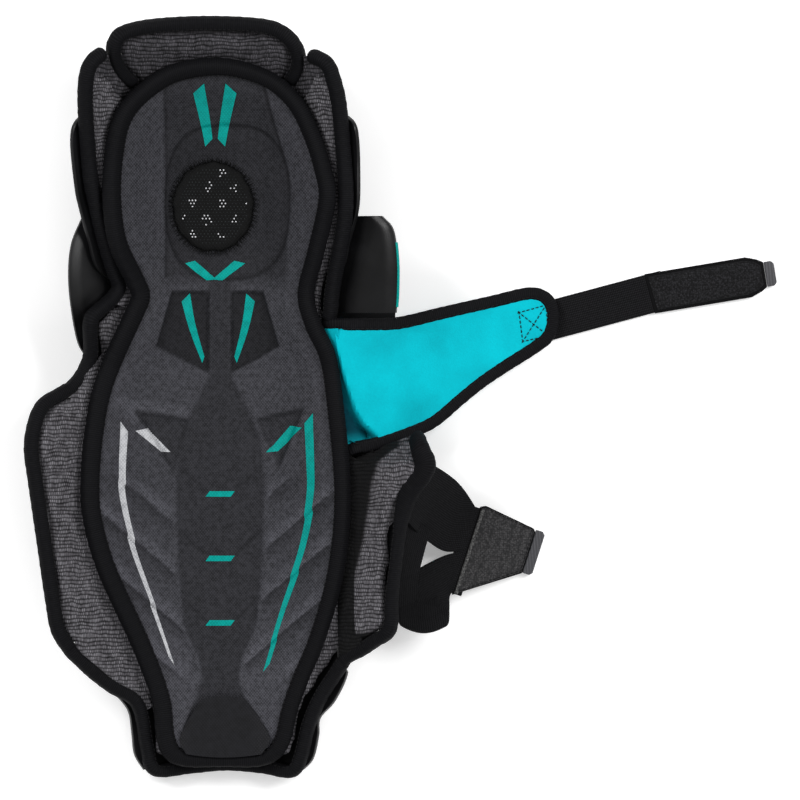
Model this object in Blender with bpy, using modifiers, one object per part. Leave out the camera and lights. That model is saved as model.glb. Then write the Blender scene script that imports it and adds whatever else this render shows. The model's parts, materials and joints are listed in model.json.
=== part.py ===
"""Hockey shin guard, lying on its front with the leg side up and its straps laid out.

The origin is the centre of the knee, on the flat front of the knee cap. +Y runs up the leg to the thigh,
+Z points to the leg and +X to the side that the straps come from. Every padded piece follows one curved
front surface, at its own depth behind it.
"""
import math

import bmesh
import bpy
import numpy as np
from mathutils import Matrix, Vector

# Main sizes, in millimetres
SHIN_LENGTH = 410.0  # knee centre to the lower hem, the size the guard is sold by
THIGH_RISE = 134.0  # knee centre to the top of the thigh guard
LINER_WIDTH = 192.0  # liner at the calf, over its binding
FRONT_FLAT = 18.0  # half width of the flat strip down the front

# Walls and paddings
CAP_WALL = 3.0
BASE_FOAM = 9.0
LINER_FOAM = 10.5
WRAP_FOAM = 4.0
STRAP_WALL = 2.0
FASTENER_WALL = 1.0
RECESS = 3.5  # depth of the knee cup in the liner
WAIST_DEPTH = 2.0  # moulded hollows in the liner
POCKET_DEPTH = 2.5
GROOVE_DEPTH = 1.5
DISC_WALL = 3.0
PATCH_WALL = 1.2

# Edges, folds and clearances
BINDING_RADIUS = 4.8
WRAP_BINDING_RADIUS = 3.2
LAYER_GAP = 1.1  # between curved layers
SEAT_GAP = 0.3  # between pieces that touch
FOLD_GAP = 0.6  # between foam panels that fold on each other
EDGE_GAP = 0.9  # between a pad and its edge binding
FOLD_LEFT = -101.0
FOLD_RIGHT = 95.0

# Straps and fasteners
ELASTIC_WIDTH = 28.0
ELASTIC_LENGTH = 65.0
TONGUE_LENGTH = 28.0
HOOK_TAB_WIDTH = 29.0
HOOK_TAB_LENGTH = 84.0
PULL_LENGTH = 7.0
PULL_WIDTH = 18.0
PULL_WALL = 3.0
Y_TAB_LENGTH = 44.0
Y_TAB_ROOT_WIDTH = 66.0
Y_TAB_END_WIDTH = 33.0
Y_TAB_HEIGHT = 12.0  # height of the tab's sewn edge above the floor
FLOOR_GAP = 0.4  # straps above the floor
DOT_RADIUS = 14.0
RIVET_RADIUS = 5.0
RIVET_HEIGHT = 2.0
VENT_LENGTH = 26.0
VENT_WIDTH = 7.0

# Depth of each layer behind the front surface
BASE_LOW = CAP_WALL + LAYER_GAP
BASE_HIGH = BASE_LOW + BASE_FOAM
BASE_MID = (BASE_LOW + BASE_HIGH) / 2
LINER_LOW = BASE_HIGH + 2 * FASTENER_WALL + 3 * SEAT_GAP
LINER_HIGH = LINER_LOW + LINER_FOAM
LINER_EDGE_DROP = 1.2
LINER_MID = (LINER_LOW + LINER_HIGH - LINER_EDGE_DROP) / 2
DISC_LOW = LINER_HIGH - RECESS + 3 * SEAT_GAP
PATCH_LOW = LINER_HIGH + 2 * SEAT_GAP
WRAP_TIP_HEIGHT = FLOOR_GAP + STRAP_WALL + SEAT_GAP + WRAP_BINDING_RADIUS  # middle of the wrap's tip
LANDING_WALL = FASTENER_WALL + SEAT_GAP
LANDING_LOW = BASE_LOW - SEAT_GAP - LANDING_WALL

MM = 0.001
STANDARD_SHIN = 410.0
STANDARD_RISE = 134.0
STANDARD_LINER = 192.0
ACROSS = LINER_WIDTH / STANDARD_LINER
DOWN = SHIN_LENGTH / STANDARD_SHIN
UP = THIGH_RISE / STANDARD_RISE

# Cross-sections along the leg: place, rise of the centre line, slope of the sides, roundness
SECTIONS = [
    (-415, 0, 1.05, 70),
    (-370, 0, 0.95, 72),
    (-335, 0, 0.85, 75),
    (-118, 0, 0.85, 75),
    (-75, 4, 1.5, 95),
    (-25, 0, 2.2, 110),
    (25, 0, 2.2, 110),
    (60, 9, 2.2, 110),
    (100, 34, 1.9, 105),
    (140, 62, 1.6, 90),
]

# Middle lines of the edge bindings, seen from the leg side, drawn for the standard size
LINER_ROUTE = [
    (2, -396), (-24, -396), (-36, -391), (-41, -377), (-44, -352), (-58, -314), (-81, -263), (-91, -230),
    (-94, -203), (-91, -161), (-83, -124), (-62, -76), (-58, -65), (-62, -54), (-74, -27), (-78, 6),
    (-76, 38), (-70, 62), (-56, 80), (-32, 95), (2, 99), (34, 90), (54, 73), (66, 50), (74, 25), (77, 3),
    (69, -34), (62, -63), (67, -85), (77, -107), (82, -136), (88, -205), (83, -262), (70, -309),
    (58, -338), (50, -361), (46, -379), (39, -391), (26, -396),
]
KNEE_LEFT_ROUTE = [
    (-94, -112), (-92, -104), (-92, -83), (-86, -75), (-77, -67), (-72, -58), (-76, -46), (-83, -22),
    (-88, 0), (-92, 20), (-95, 60), (-95, 85), (-92, 98), (-86, 105),
]
KNEE_RIGHT_ROUTE = [
    (79, -75), (80, -63), (82, -51), (85, -36), (89, -12), (90, 10), (88, 40), (85, 72), (81, 89), (77, 99),
    (70, 104),
]
HEM_ROUTE = [
    (-96, -328), (-88, -335), (-76, -344), (-62, -352), (-56, -364), (-52, -388), (-46, -403), (-20, -401),
    (4, -399), (30, -401), (50, -404), (57, -395), (63, -371), (71, -352), (81, -336), (89, -324),
]
CALF_LEFT_ROUTE = [
    (-106, -130), (-114, -135), (-125, -142), (-131, -154), (-134, -173), (-131, -198), (-125, -240),
    (-119, -282), (-115, -303), (-106, -318),
]
CALF_RIGHT_ROUTE = [
    (101, -317), (111, -310), (119, -305), (122, -297), (122, -282), (124, -258), (128, -230), (136, -207),
    (146, -193), (149, -184), (145, -175),
]
THIGH_ROUTE = [
    (-61, 86), (-70, 95), (-75, 106), (-74, 115), (-67, 122), (-45, 127), (-8, 129), (30, 127), (46, 121),
    (55, 110), (56, 98), (50, 87),
]
WRAP_ROUTE = [
    (85, -84), (108, -84), (128, -83), (158, -76), (193, -68), (219, -62), (231, -64), (237, -71), (239, -81),
    (235, -94), (224, -103), (205, -115), (187, -127), (172, -139), (153, -155), (136, -163), (113, -171),
    (98, -174),
]
WRAP_ROOT = ((81, -84), (94, -176))
WRAP_REACH = 150.0  # sewn edge to tip

# Where the panels fold and what is cut out for them
FOLD_LEFT_SPAN = (-322, -120)
FOLD_RIGHT_SPAN = (-318, -182)
CALF_LEFT_SPAN = (-312, -136)
CALF_RIGHT_SPAN = (-311, -178)
CALF_RIGHT_SLANT = (-187, 38)  # where the wing's top edge leaves the fold, and how far it runs out
THIGH_FOLD = 72.0
THIGH_ROOT = 40.0
THIGH_NOTCH = [(-95, 98), (-82, 97.5), (-78, 92), (-70, 82), (-62, 75), (-52, 71.2), (0, 71.2), (48, 71.2),
               (55, 75), (61, 84), (64, 92), (66, 97), (85, 98)]
NOTCH_FROM = 60.0  # rows above this bend to the notch

# Outer edges of the hard pieces, seen from the leg side
KNEE_CAP_LEFT = [(-58, -64), (-85, -48), (-93, -26), (-99, -3), (-102, 12), (-105, 45), (-101, 60), (-88, 68)]
KNEE_CAP_RIGHT = [(58, -64), (85, -48), (92, -26), (98, -4), (99, 18), (98, 48), (94, 60), (82, 68)]
SHIN_CAP_LEFT = [(-54, -404), (-61, -392), (-63, -376), (-66, -360), (-78, -344), (-84, -325), (-84, -130),
                 (-78, -98), (-62, -74)]
SHIN_CAP_RIGHT = [(58, -404), (66, -395), (70, -378), (71, -366), (82, -353), (91, -331), (84, -312),
                  (84, -130), (78, -98), (62, -74)]
SHIELD_LEFT = [(-92, -112), (-101, -100), (-106, -75), (-108, -50), (-106, -28), (-99, -10)]
SHIELD_RIGHT = [(126, -77), (127, -62), (127, -40), (124, -18), (116, -8)]
SHIELD_ROOT = 84.0
SHIELD_FLARE = 0.75
RAIL_HEIGHT = 2.4
RAIL_FADE = 20.0  # length over which a rail rises at its ends
KNEE_RAIL = (56, 16, (-58, 66))  # middle, half width and the two ends
SHIN_RAIL = (52, 15, (-345, -85))
KNEE_VENTS = [(38, 30, 0.35), (38, -30, -0.35)]
SHIN_VENTS = [(36, -140, 0.2), (36, -200, 0.2), (36, -260, 0.2)]
RIVET_PLACES = {
    "knee_upper": (30, 58), "knee_side": (82, 42), "shin_upper": (77, -150), "shin_lower": (77, -290),
}

# Straps, seen from the leg side
UPPER_LEG_TOP = [(147, -183), (164, -193), (174, -203)]
UPPER_LEG_LOW = [(138, -231), (147, -239), (160, -247)]
UPPER_LEG_ROOT = (-216, -177)
LOWER_LEG_IN = [(160, -250), (142, -259), (130, -268), (127, -285), (127, -299)]
LOWER_LEG_OUT = [(163, -281), (163, -287), (163, -292), (162, -297), (158, -300)]
LOWER_LEG_HEIGHT = 30.0  # where the lower leg folds back on itself
LOWER_LEG_BEND = 3.0  # radius of that fold
LOWER_LEG_RETURN = 18.0
Y_TAB_EDGE = ((165, -278), (185, -216))
UPPER_LEG_SHARE = (0.505, 0.97)  # part of the tab's sewn edge that each leg takes
LOWER_LEG_SHARE = (0.03, 0.495)
Y_TAB_SKEW = 15.0  # how far the tab's end lies up its sewn edge
ANCHOR_REACH = (104, 124)
ANCHOR_SPAN = (-296, -192)
ELASTIC_START = (243.6, -80)
ELASTIC_TURN = 15.0
HOOK_TAB_TURN = 9.5

KNEE_DISC = (-5, -1)
KNEE_DISC_REACH = (29, 32)
PATCH_LEFT = [(-24, -392), (-29, -382), (-22, -366), (-12, -352)]
PATCH_RIGHT = [(30, -391), (36, -381), (28, -366), (18, -352)]
DOT_PLACES = {"knee": 0, "shin": -190, "ankle": -330}
LOOP_PATCHES = {"upper": ((-130, -108), (-196, -158)), "lower": ((-122, -108), (-282, -222))}
WAIST_CHANNEL = -86.0
CALF_POCKET = (44, -172)

COLOURS = {
    "plastic": ((0.012, 0.012, 0.014), 0.32),
    "knit": ((0.07, 0.068, 0.072), 0.85),
    "liner": ((0.042, 0.042, 0.046), 0.8),
    "tape": ((0.006, 0.006, 0.007), 0.75),
    "teal": ((0.0, 0.55, 0.63), 0.7),
    "webbing": ((0.008, 0.008, 0.009), 0.8),
    "rubber": ((0.05, 0.05, 0.055), 0.6),
    "rivet": ((0.3, 0.3, 0.32), 0.4),
}


def stretch(x, y):
    """A point drawn for the standard size, moved to this guard's size."""
    return x * ACROSS, y * (DOWN if y < 0 else UP)


def plan(points):
    """A list of points drawn for the standard size, moved to this guard's size."""
    return [stretch(x, y) for x, y in points]


def level(y):
    """A place along the leg drawn for the standard size, moved to this guard's size."""
    return stretch(0, y)[1]


def monotone(knots, values, at):
    """Smooth curve through the values that never swings past them."""
    i = int(np.clip(np.searchsorted(knots, at) - 1, 0, len(knots) - 2))
    steps = np.diff(knots)
    rates = np.diff(values) / steps

    def rate_at(k):
        if k == 0 or k == len(knots) - 1 or rates[k - 1] * rates[k] <= 0:
            return 0.0
        return 2 * rates[k - 1] * rates[k] / (rates[k - 1] + rates[k])

    t = min(max((at - knots[i]) / steps[i], 0.0), 1.0)
    start, end = rate_at(i) * steps[i], rate_at(i + 1) * steps[i]
    rise = values[i + 1] - values[i]
    return values[i] + start * t + (3 * rise - 2 * start - end) * t ** 2 + (start + end - 2 * rise) * t ** 3


STATIONS = np.array([level(s[0]) for s in SECTIONS])
RISES = np.array([s[1] for s in SECTIONS], dtype=float)
SLOPES = np.array([s[2] for s in SECTIONS])
ROUNDS = np.array([s[3] for s in SECTIONS]) * ACROSS


def front(x, y):
    """Height of the front surface over the floor."""
    rise, slope, roundness = (monotone(STATIONS, v, y) for v in (RISES, SLOPES, ROUNDS))
    reach = max(abs(x) - FRONT_FLAT, 0.0)
    return rise + slope * (math.hypot(reach, roundness) - roundness)


def tilt(x, y):
    """Steepness of the front surface along X and Y."""
    step = 0.5
    across = (front(x + step, y) - front(x - step, y)) / (2 * step)
    along = (front(x, y + step) - front(x, y - step)) / (2 * step)
    return across, along


def behind(x, y, depth):
    """The point at a depth behind the front surface, square to it."""
    across, along = tilt(x, y)
    square = Vector((-across, -along, 1)).normalized()
    return Vector((x, y, front(x, y))) + square * depth


def foot(x, y, depth):
    """The front point whose point at this depth is seen at x, y."""
    fx, fy = x, y
    for _ in range(6):
        seen = behind(fx, fy, depth)
        fx, fy = fx + x - seen.x, fy + y - seen.y
    return fx, fy


def layer(x, y, depth, seen_at=None):
    """The point at a depth, placed so that the depth seen_at lies over x, y."""
    return behind(*foot(x, y, depth if seen_at is None else seen_at), depth)


def flow(points, count, closed=False):
    """Evenly spaced points on a smooth curve through the given ones."""
    knots = [Vector(p) for p in points]
    last = len(knots) if closed else len(knots) - 1
    fine = []
    for i in range(last):
        a = knots[i - 1] if closed or i else 2 * knots[0] - knots[1]
        b, c = knots[i], knots[(i + 1) % len(knots)]
        d = knots[(i + 2) % len(knots)] if closed or i + 2 < len(knots) else 2 * c - b
        for k in range(12):
            t = k / 12
            fine.append(0.5 * ((2 * b) + (c - a) * t + (2 * a - 5 * b + 4 * c - d) * t ** 2
                               + (3 * b - a - 3 * c + d) * t ** 3))
    fine.append(knots[0] if closed else knots[-1])
    table = np.array([p[:] for p in fine])
    run = np.concatenate([[0], np.cumsum(np.linalg.norm(np.diff(table, axis=0), axis=1))])
    stops = np.linspace(0, run[-1], count + 1 if closed else count)
    even = [Vector([np.interp(s, run, table[:, axis]) for axis in range(table.shape[1])]) for s in stops]
    return even[:-1] if closed else even


def inner_side(route, side, reach, steepness, closed=False):
    """The edge of a panel that ends at a reach inside its binding, measured along the sloping surface."""
    edge = []
    for i, point in enumerate(route):
        before = route[i - 1] if closed or i else point
        after = route[(i + 1) % len(route)] if closed or i + 1 < len(route) else point
        along = (after - before).normalized()
        inward = Vector((-along.y, along.x)) * side
        steep = Vector(steepness(point.x, point.y)).dot(inward)
        edge.append(point + inward * reach / math.sqrt(1 + steep ** 2))
    return edge


def steepness_at(depth):
    """Steepness of the layer at a depth, as a function of the place it is seen at."""
    return lambda x, y: tilt(*foot(x, y, depth))


def edge_at(edge):
    """The sideways place of an edge as a function of the place along the leg."""
    rows = sorted((p[1], p[0]) for p in edge)
    ys, xs = [r[0] for r in rows], [r[1] for r in rows]
    return lambda y: float(np.interp(y, ys, xs))


def spread(*stops):
    """Places along the leg: each stop is a start and the spacing that follows it."""
    places = []
    for (start, step), (end, _) in zip(stops, stops[1:]):
        count = max(1, round(abs(end - start) / step))
        places += [start + (end - start) * k / count for k in range(count)]
    return [level(y) for y in places + [stops[-1][0]]]


def smooth_step(low, high, value):
    """A ramp from 0 at low to 1 at high with soft ends."""
    t = min(max((value - low) / (high - low), 0.0), 1.0)
    return t * t * (3 - 2 * t)


def material(finish):
    """One Principled material for a finish."""
    known = bpy.data.materials.get(finish)
    if known:
        return known
    colour, roughness = COLOURS[finish]
    made = bpy.data.materials.new(finish)
    made.use_nodes = True
    shader = made.node_tree.nodes["Principled BSDF"]
    shader.inputs["Base Color"].default_value = (*colour, 1)
    shader.inputs["Roughness"].default_value = roughness
    shader.inputs["Metallic"].default_value = 1.0 if finish == "rivet" else 0.0
    return made


def place(name, data, finish, pivot=None):
    """Put a piece, drawn in millimetres in the guard's frame, in the scene with its origin on its pivot."""
    origin = pivot.location / MM if pivot else Vector((0, 0, 0))
    data.transform(Matrix.Scale(MM, 4) @ Matrix.Translation(-origin))
    return hang(name, data, finish, pivot)


def hang(name, data, finish, pivot):
    """Put a piece whose data is already in metres in the scene, under its pivot."""
    data.materials.append(material(finish))
    piece = bpy.data.objects.new(name, data)
    piece.parent = pivot
    PARTS.objects.link(piece)
    return piece


def polyline(name, points, closed):
    """A curve through points given in metres."""
    data = bpy.data.curves.new(name, "CURVE")
    line = data.splines.new("POLY")
    line.points.add(len(points) - 1)
    for spot, p in zip(line.points, points):
        spot.co = (*p, 1)
    line.use_cyclic_u = closed
    return data


def sheet(name, columns, rows, mapped):
    """A grid of faces whose points come from shares across and along."""
    bm = bmesh.new()
    bmesh.ops.create_grid(bm, x_segments=columns, y_segments=rows, size=0.5)
    for v in bm.verts:
        v.co = mapped(v.co.x + 0.5, v.co.y + 0.5)
    mesh = bpy.data.meshes.new(name)
    bm.to_mesh(mesh)
    bm.free()
    return mesh


def thicken(piece, wall, offset=1.0):
    """Give an open sheet its wall."""
    mod = piece.modifiers.new("wall", "SOLIDIFY")
    mod.thickness = wall * MM
    mod.offset = offset
    mod.use_even_offset = True
    return piece


def between(left, right, levels, low_end=None, high_end=None, high_from=None):
    """Turn shares across and along into a place seen from the leg side; the end rows may bend to a curve.

    Columns lie closer together near the sides, so that the walls there stand square to the surface.
    """
    bend = levels[-2] if high_from is None else high_from

    def spot(u, v):
        y = levels[round(v * (len(levels) - 1))]
        x = left(y) + (right(y) - left(y)) * (1 - math.cos(math.pi * u)) / 2
        if low_end and v < 0.001:
            y = low_end(x)
        elif high_end and y > bend:
            y = bend + (high_end(x) - bend) * (y - bend) / (levels[-1] - bend)
        return x, y

    return spot


def panel(name, finish, spot, rows, columns, low, wall, pivot=None, relief=None):
    """A padded or moulded panel at a depth behind the front surface."""
    def mapped(u, v):
        x, y = spot(u, v)
        rise = relief(x, y) if relief else 0.0
        return layer(x, y, low - rise, low + wall / 2)

    return thicken(place(name, sheet(name, columns, rows, mapped), finish, pivot), wall)


def ribbon(name, finish, low_edge, top_edge, wall, rows, columns, pivot=None, offset=0.0):
    """A strip between two routes in space."""
    low_line, top_line = flow(low_edge, columns + 1), flow(top_edge, columns + 1)

    def mapped(u, v):
        k = round(u * columns)
        return low_line[k].lerp(top_line[k], v)

    return thicken(place(name, sheet(name, columns, rows, mapped), finish, pivot), wall, offset)


def binding(name, points, radius, pivot=None, closed=False):
    """A rounded edge tape along a route in space."""
    origin = pivot.location if pivot else Vector((0, 0, 0))
    data = polyline(name, [p * MM - origin for p in points], closed)
    data.dimensions = "3D"
    data.bevel_depth = radius * MM
    data.bevel_resolution = 1
    data.use_fill_caps = not closed
    return hang(name, data, "tape", pivot)


def flat_piece(name, finish, outline, wall, base, pivot=None):
    """A flat outline with a wall, lying in the frame that base gives."""
    data = polyline(name, [(x * MM, y * MM, 0) for x, y in outline], True)
    data.dimensions = "2D"
    data.fill_mode = "BOTH"
    data.extrude = wall / 2 * MM
    piece = hang(name, data, finish, pivot)
    home = base.copy()
    home.translation = base.translation * MM - pivot.location
    piece.matrix_basis = home
    return piece


def disc(name, finish, radius, wall, base, pivot=None, taper=1.0):
    """A round flat piece standing on the frame that base gives."""
    bm = bmesh.new()
    bmesh.ops.create_cone(bm, cap_ends=True, segments=16, radius1=radius, radius2=radius * taper, depth=wall)
    bm.transform(base @ Matrix.Translation((0, 0, wall / 2)))
    mesh = bpy.data.meshes.new(name)
    bm.to_mesh(mesh)
    bm.free()
    return place(name, mesh, finish, pivot)


def joint_at(name, point):
    """An empty on a joint's axis that carries a moving group."""
    empty = bpy.data.objects.new(name, None)
    empty.location = Vector(point) * MM
    PARTS.objects.link(empty)
    return empty


def square_frame(x, y, depth):
    """A frame on the surface at a depth, with its Z pointing out of the guard's front."""
    spot = behind(x, y, depth)
    out = (behind(x, y, 0.0) - behind(x, y, 1.0)).normalized()
    side = Vector((0, 1, 0)).cross(out).normalized()
    turn = Matrix((side, out.cross(side), out)).transposed()
    return Matrix.Translation(spot) @ turn.to_4x4()


def vent_cutter(name, x, y, lean):
    """A long oval cutter through a cap's wall."""
    bm = bmesh.new()
    bmesh.ops.create_cone(bm, cap_ends=True, segments=14, radius1=0.5, radius2=0.5, depth=6 * CAP_WALL)
    shape = Matrix.Rotation(lean, 4, "Z") @ Matrix.Diagonal((VENT_WIDTH, VENT_LENGTH, 1, 1))
    bm.transform(Matrix.Scale(MM, 4) @ square_frame(x, y, CAP_WALL / 2) @ shape)
    mesh = bpy.data.meshes.new(name)
    bm.to_mesh(mesh)
    bm.free()
    cutter = bpy.data.objects.new(name, mesh)
    cutter.hide_render = True
    cutter.display_type = "WIRE"
    return cutter


def cut_vents(piece, places):
    """Cut mirrored pairs of oval vents: sideways place, place along the leg, lean."""
    group = bpy.data.collections.new(piece.name + "_vents")
    CUTTERS.children.link(group)
    for k, (x, y, lean) in enumerate(places):
        for side in (-1, 1):
            name = f"{piece.name}_vent_{k}_{side}"
            group.objects.link(vent_cutter(name, side * x * ACROSS, level(y), side * lean))
    mod = piece.modifiers.new("vents", "BOOLEAN")
    mod.operand_type = "COLLECTION"
    mod.collection = group
    mod.solver = "EXACT"


def rail(x, y, centre, half, ends):
    """Height of a moulded rail on a cap, fading out at its two ends."""
    start, end = (level(e) for e in ends)
    fade = smooth_step(start, start + RAIL_FADE, y) * (1 - smooth_step(end - RAIL_FADE, end, y))
    side = 1 - smooth_step(0, half, abs(abs(x) - centre * ACROSS))
    return RAIL_HEIGHT * side * fade


def knee_cap():
    """Moulded cup in front of the knee, with two raised rails and oval vents."""
    levels = spread((-64, 8), (-24, 12), (40, 9), (67, 1))
    spot = between(edge_at(flow(plan(KNEE_CAP_LEFT), 40)), edge_at(flow(plan(KNEE_CAP_RIGHT), 40)), levels)
    cap = panel("knee_cap", "plastic", spot, len(levels) - 1, 18, 0.0, CAP_WALL,
                relief=lambda x, y: rail(x, y, *KNEE_RAIL))
    cut_vents(cap, KNEE_VENTS)


def shin_cap():
    """Moulded shin shell with two long raised rails and rows of oval vents."""
    levels = spread((-403, 9), (-312, 20), (-120, 14), (-75, 1))
    spot = between(edge_at(flow(plan(SHIN_CAP_LEFT), 60)), edge_at(flow(plan(SHIN_CAP_RIGHT), 60)), levels)
    cap = panel("shin_cap", "plastic", spot, len(levels) - 1, 14, 0.0, CAP_WALL,
                relief=lambda x, y: rail(x, y, *SHIN_RAIL))
    cut_vents(cap, SHIN_VENTS)


def side_shields():
    """Two stiff side plates behind the waist that flare away from the knee cap."""
    for side, name, points in ((-1, "left", SHIELD_LEFT), (1, "right", SHIELD_RIGHT)):
        rows = 7
        rim = flow(plan(points), rows + 1)
        root = side * SHIELD_ROOT * ACROSS

        def mapped(u, v, rim=rim, root=root, side=side):
            end = rim[round(v * rows)]
            x = root + (end.x - root) * (u if side > 0 else 1 - u)
            height = layer(root, end.y, -2 * SEAT_GAP - CAP_WALL).z
            return Vector((x, end.y, height + abs(x - root) * SHIELD_FLARE))

        piece = place(f"side_shield_{name}", sheet(name, 3, rows, mapped), "plastic")
        thicken(piece, CAP_WALL)


def rivets():
    """Domed rivet heads on the two caps, in mirrored pairs."""
    for name, (x, y) in RIVET_PLACES.items():
        for side, hand in ((-1, "left"), (1, "right")):
            base = square_frame(side * x * ACROSS, level(y), -SEAT_GAP)
            disc(f"rivet_{name}_{hand}", "rivet", RIVET_RADIUS, RIVET_HEIGHT, base, taper=0.6)


def bound_edge(route, side, count):
    """A binding's route on the base pad's layer and the foam edge beside it."""
    line = flow(plan(route), count)
    edge = inner_side(line, side, BINDING_RADIUS + EDGE_GAP, steepness_at(BASE_MID))
    return [layer(p.x, p.y, BASE_MID) for p in line], [tuple(p) for p in edge]


def base_pad():
    """Foam carrier from knee to hem, with its bindings and its notch for the thigh guard."""
    left_line, left_edge = bound_edge(KNEE_LEFT_ROUTE, -1, 34)
    right_line, right_edge = bound_edge(KNEE_RIGHT_ROUTE, 1, 26)
    hem_line, hem_edge = bound_edge(HEM_ROUTE, 1, 40)
    for edge in (left_edge, right_edge):
        edge.insert(0, (edge[0][0], edge[0][1] - BINDING_RADIUS))
    half = len(hem_edge) // 2
    corners = [hem_edge.index(min(side, key=lambda p: p[1])) for side in (hem_edge[:half], hem_edge[half:])]
    fold_left = [(FOLD_LEFT * ACROSS + FOLD_GAP / 2, level(y)) for y in FOLD_LEFT_SPAN]
    fold_right = [(FOLD_RIGHT * ACROSS - FOLD_GAP / 2, level(y)) for y in FOLD_RIGHT_SPAN]
    left = edge_at(hem_edge[:corners[0]] + fold_left + left_edge)
    right = edge_at(hem_edge[corners[1] + 1:] + fold_right + plan(WRAP_ROOT) + right_edge)
    hem = edge_at([(y, x) for x, y in hem_edge[corners[0]:corners[1] + 1]])
    notch = edge_at([(y, x) for x, y in plan(THIGH_NOTCH)])
    levels = spread((-397, 9), (-366, 6), (-330, 28), (-130, 14), (-116, 8), (-76, 5), (-46, 12),
                    (NOTCH_FROM, 10), (98, 1))
    spot = between(left, right, levels, hem, notch, level(NOTCH_FROM))
    panel("base_pad", "knit", spot, len(levels) - 1, 16, BASE_LOW, BASE_FOAM)
    for name, line in (("left", left_line), ("right", right_line), ("hem", hem_line)):
        binding(f"base_binding_{name}", line, BINDING_RADIUS)


def calf_wing(name, side, route, fold, span):
    """A side panel that folds on the lining along a straight line beside the liner."""
    root = fold * ACROSS + side * FOLD_GAP / 2
    middle = layer(fold * ACROSS, level(sum(span) / 2), BASE_HIGH, BASE_MID)
    pivot = joint_at(f"calf_wing_{name}_fold", middle)
    line, edge = bound_edge(route, 1, 26)
    leave, run = level(CALF_RIGHT_SLANT[0]), CALF_RIGHT_SLANT[1] * ACROSS
    end = level(span[1])

    def inner(y):
        return root if side < 0 or y < leave else root + run * (y - leave) / (end - leave)

    sides = (edge_at(edge), inner) if side < 0 else (inner, edge_at(edge))
    levels = spread((span[0], 12), (span[0] + 36, 24), (span[1] - 36, 9), (span[1], 1))
    spot = between(*sides, levels)
    panel(f"calf_wing_{name}_pad", "knit", spot, len(levels) - 1, 4, BASE_LOW, BASE_FOAM, pivot)
    binding(f"calf_wing_{name}_binding", line, BINDING_RADIUS, pivot)
    return pivot


def landing(name, reach, span, pivot):
    """A flat patch sewn to the outside of a calf wing."""
    low, high = (x * ACROSS for x in reach)
    levels = spread((span[0], 28), (span[1], 1))
    spot = between(lambda y: low, lambda y: high, levels)
    panel(name, "webbing", spot, len(levels) - 1, 2, LANDING_LOW, LANDING_WALL, pivot)


def thigh_guard():
    """Padded flap above the knee that folds away from the leg on its outer face."""
    pivot = joint_at("thigh_guard_fold", layer(0, level(THIGH_FOLD), BASE_LOW, BASE_MID))
    line, edge = bound_edge(THIGH_ROUTE, -1, 34)
    half = len(edge) // 2
    root = THIGH_ROOT * ACROSS
    left = edge_at([(-root, level(THIGH_FOLD))] + edge[:half])
    right = edge_at([(root, level(THIGH_FOLD))] + edge[half:])
    crest = edge_at([(y, x) for x, y in edge if y > level(112)])
    levels = spread((THIGH_FOLD, 9), (99, 4.5), (117, 1))
    spot = between(left, right, levels, high_end=crest)
    panel("thigh_guard_pad", "knit", spot, len(levels) - 1, 12, BASE_LOW, BASE_FOAM, pivot)
    binding("thigh_guard_binding", line, BINDING_RADIUS, pivot)


def liner_relief(x, y):
    """How far the liner's moulded hollows lie below its full height: knee cup, waist, pockets and groove."""
    cx, cy = stretch(*KNEE_DISC)
    ring = math.hypot((x - cx) / (KNEE_DISC_REACH[0] * ACROSS), (y - cy) / (KNEE_DISC_REACH[1] * UP))
    cup = RECESS * (1 - smooth_step(1.5, 1.85, ring))
    waist = WAIST_DEPTH * (1 - smooth_step(6, 22, abs(y - level(WAIST_CHANNEL) + 0.25 * abs(x))))
    px, py = stretch(*CALF_POCKET)
    pocket = POCKET_DEPTH * (1 - smooth_step(0.4, 1.0, math.hypot((abs(x) - px) / 26, (y - py) / 40)))
    length = smooth_step(level(-340), level(-300), y) * (1 - smooth_step(level(-200), level(-170), y))
    groove = GROOVE_DEPTH * length * (1 - smooth_step(4, 20, abs(x)))
    return max(cup, waist, pocket, groove)


def liner():
    """Removable moulded pad and its binding."""
    pivot = joint_at("liner_slide", (0, 0, LINER_LOW))
    route = flow(plan(LINER_ROUTE), 100, closed=True)
    edge = inner_side(route, -1, BINDING_RADIUS + EDGE_GAP, steepness_at(LINER_MID), closed=True)
    top = max(range(len(edge)), key=lambda i: edge[i].y)
    levels = spread((-383, 12), (-76, 7), (-48, 12), (64, 7), (85, 1))
    rows, columns = len(levels) - 1, 16
    sides = [edge_at([p for p in half if p.y > levels[0] - 6]) for half in (edge[:top + 1], edge[top:])]
    hem = edge_at([p.yx for p in edge if p.y < levels[1]])
    crest = edge_at([p.yx for p in edge if p.y > levels[-3]])
    spot = between(*sides, levels, hem, crest)
    pad = place("liner_pad", sheet("liner_pad", columns, rows,
                                   lambda u, v: layer(*spot(u, v), LINER_LOW, LINER_MID)), "liner", pivot)
    padding = pad.vertex_groups.new(name="padding")
    for k in range((rows + 1) * (columns + 1)):
        row, column = divmod(k, columns + 1)
        rim = row in (0, rows) or column in (0, columns)
        drop = LINER_EDGE_DROP if rim else liner_relief(*spot(column / columns, row / rows))
        padding.add([k], 1 - drop / LINER_FOAM, "REPLACE")
    thicken(pad, LINER_FOAM).modifiers["wall"].vertex_group = padding.name
    binding("liner_binding", [layer(p.x, p.y, LINER_MID) for p in route], BINDING_RADIUS, pivot, closed=True)
    return pivot


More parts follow.
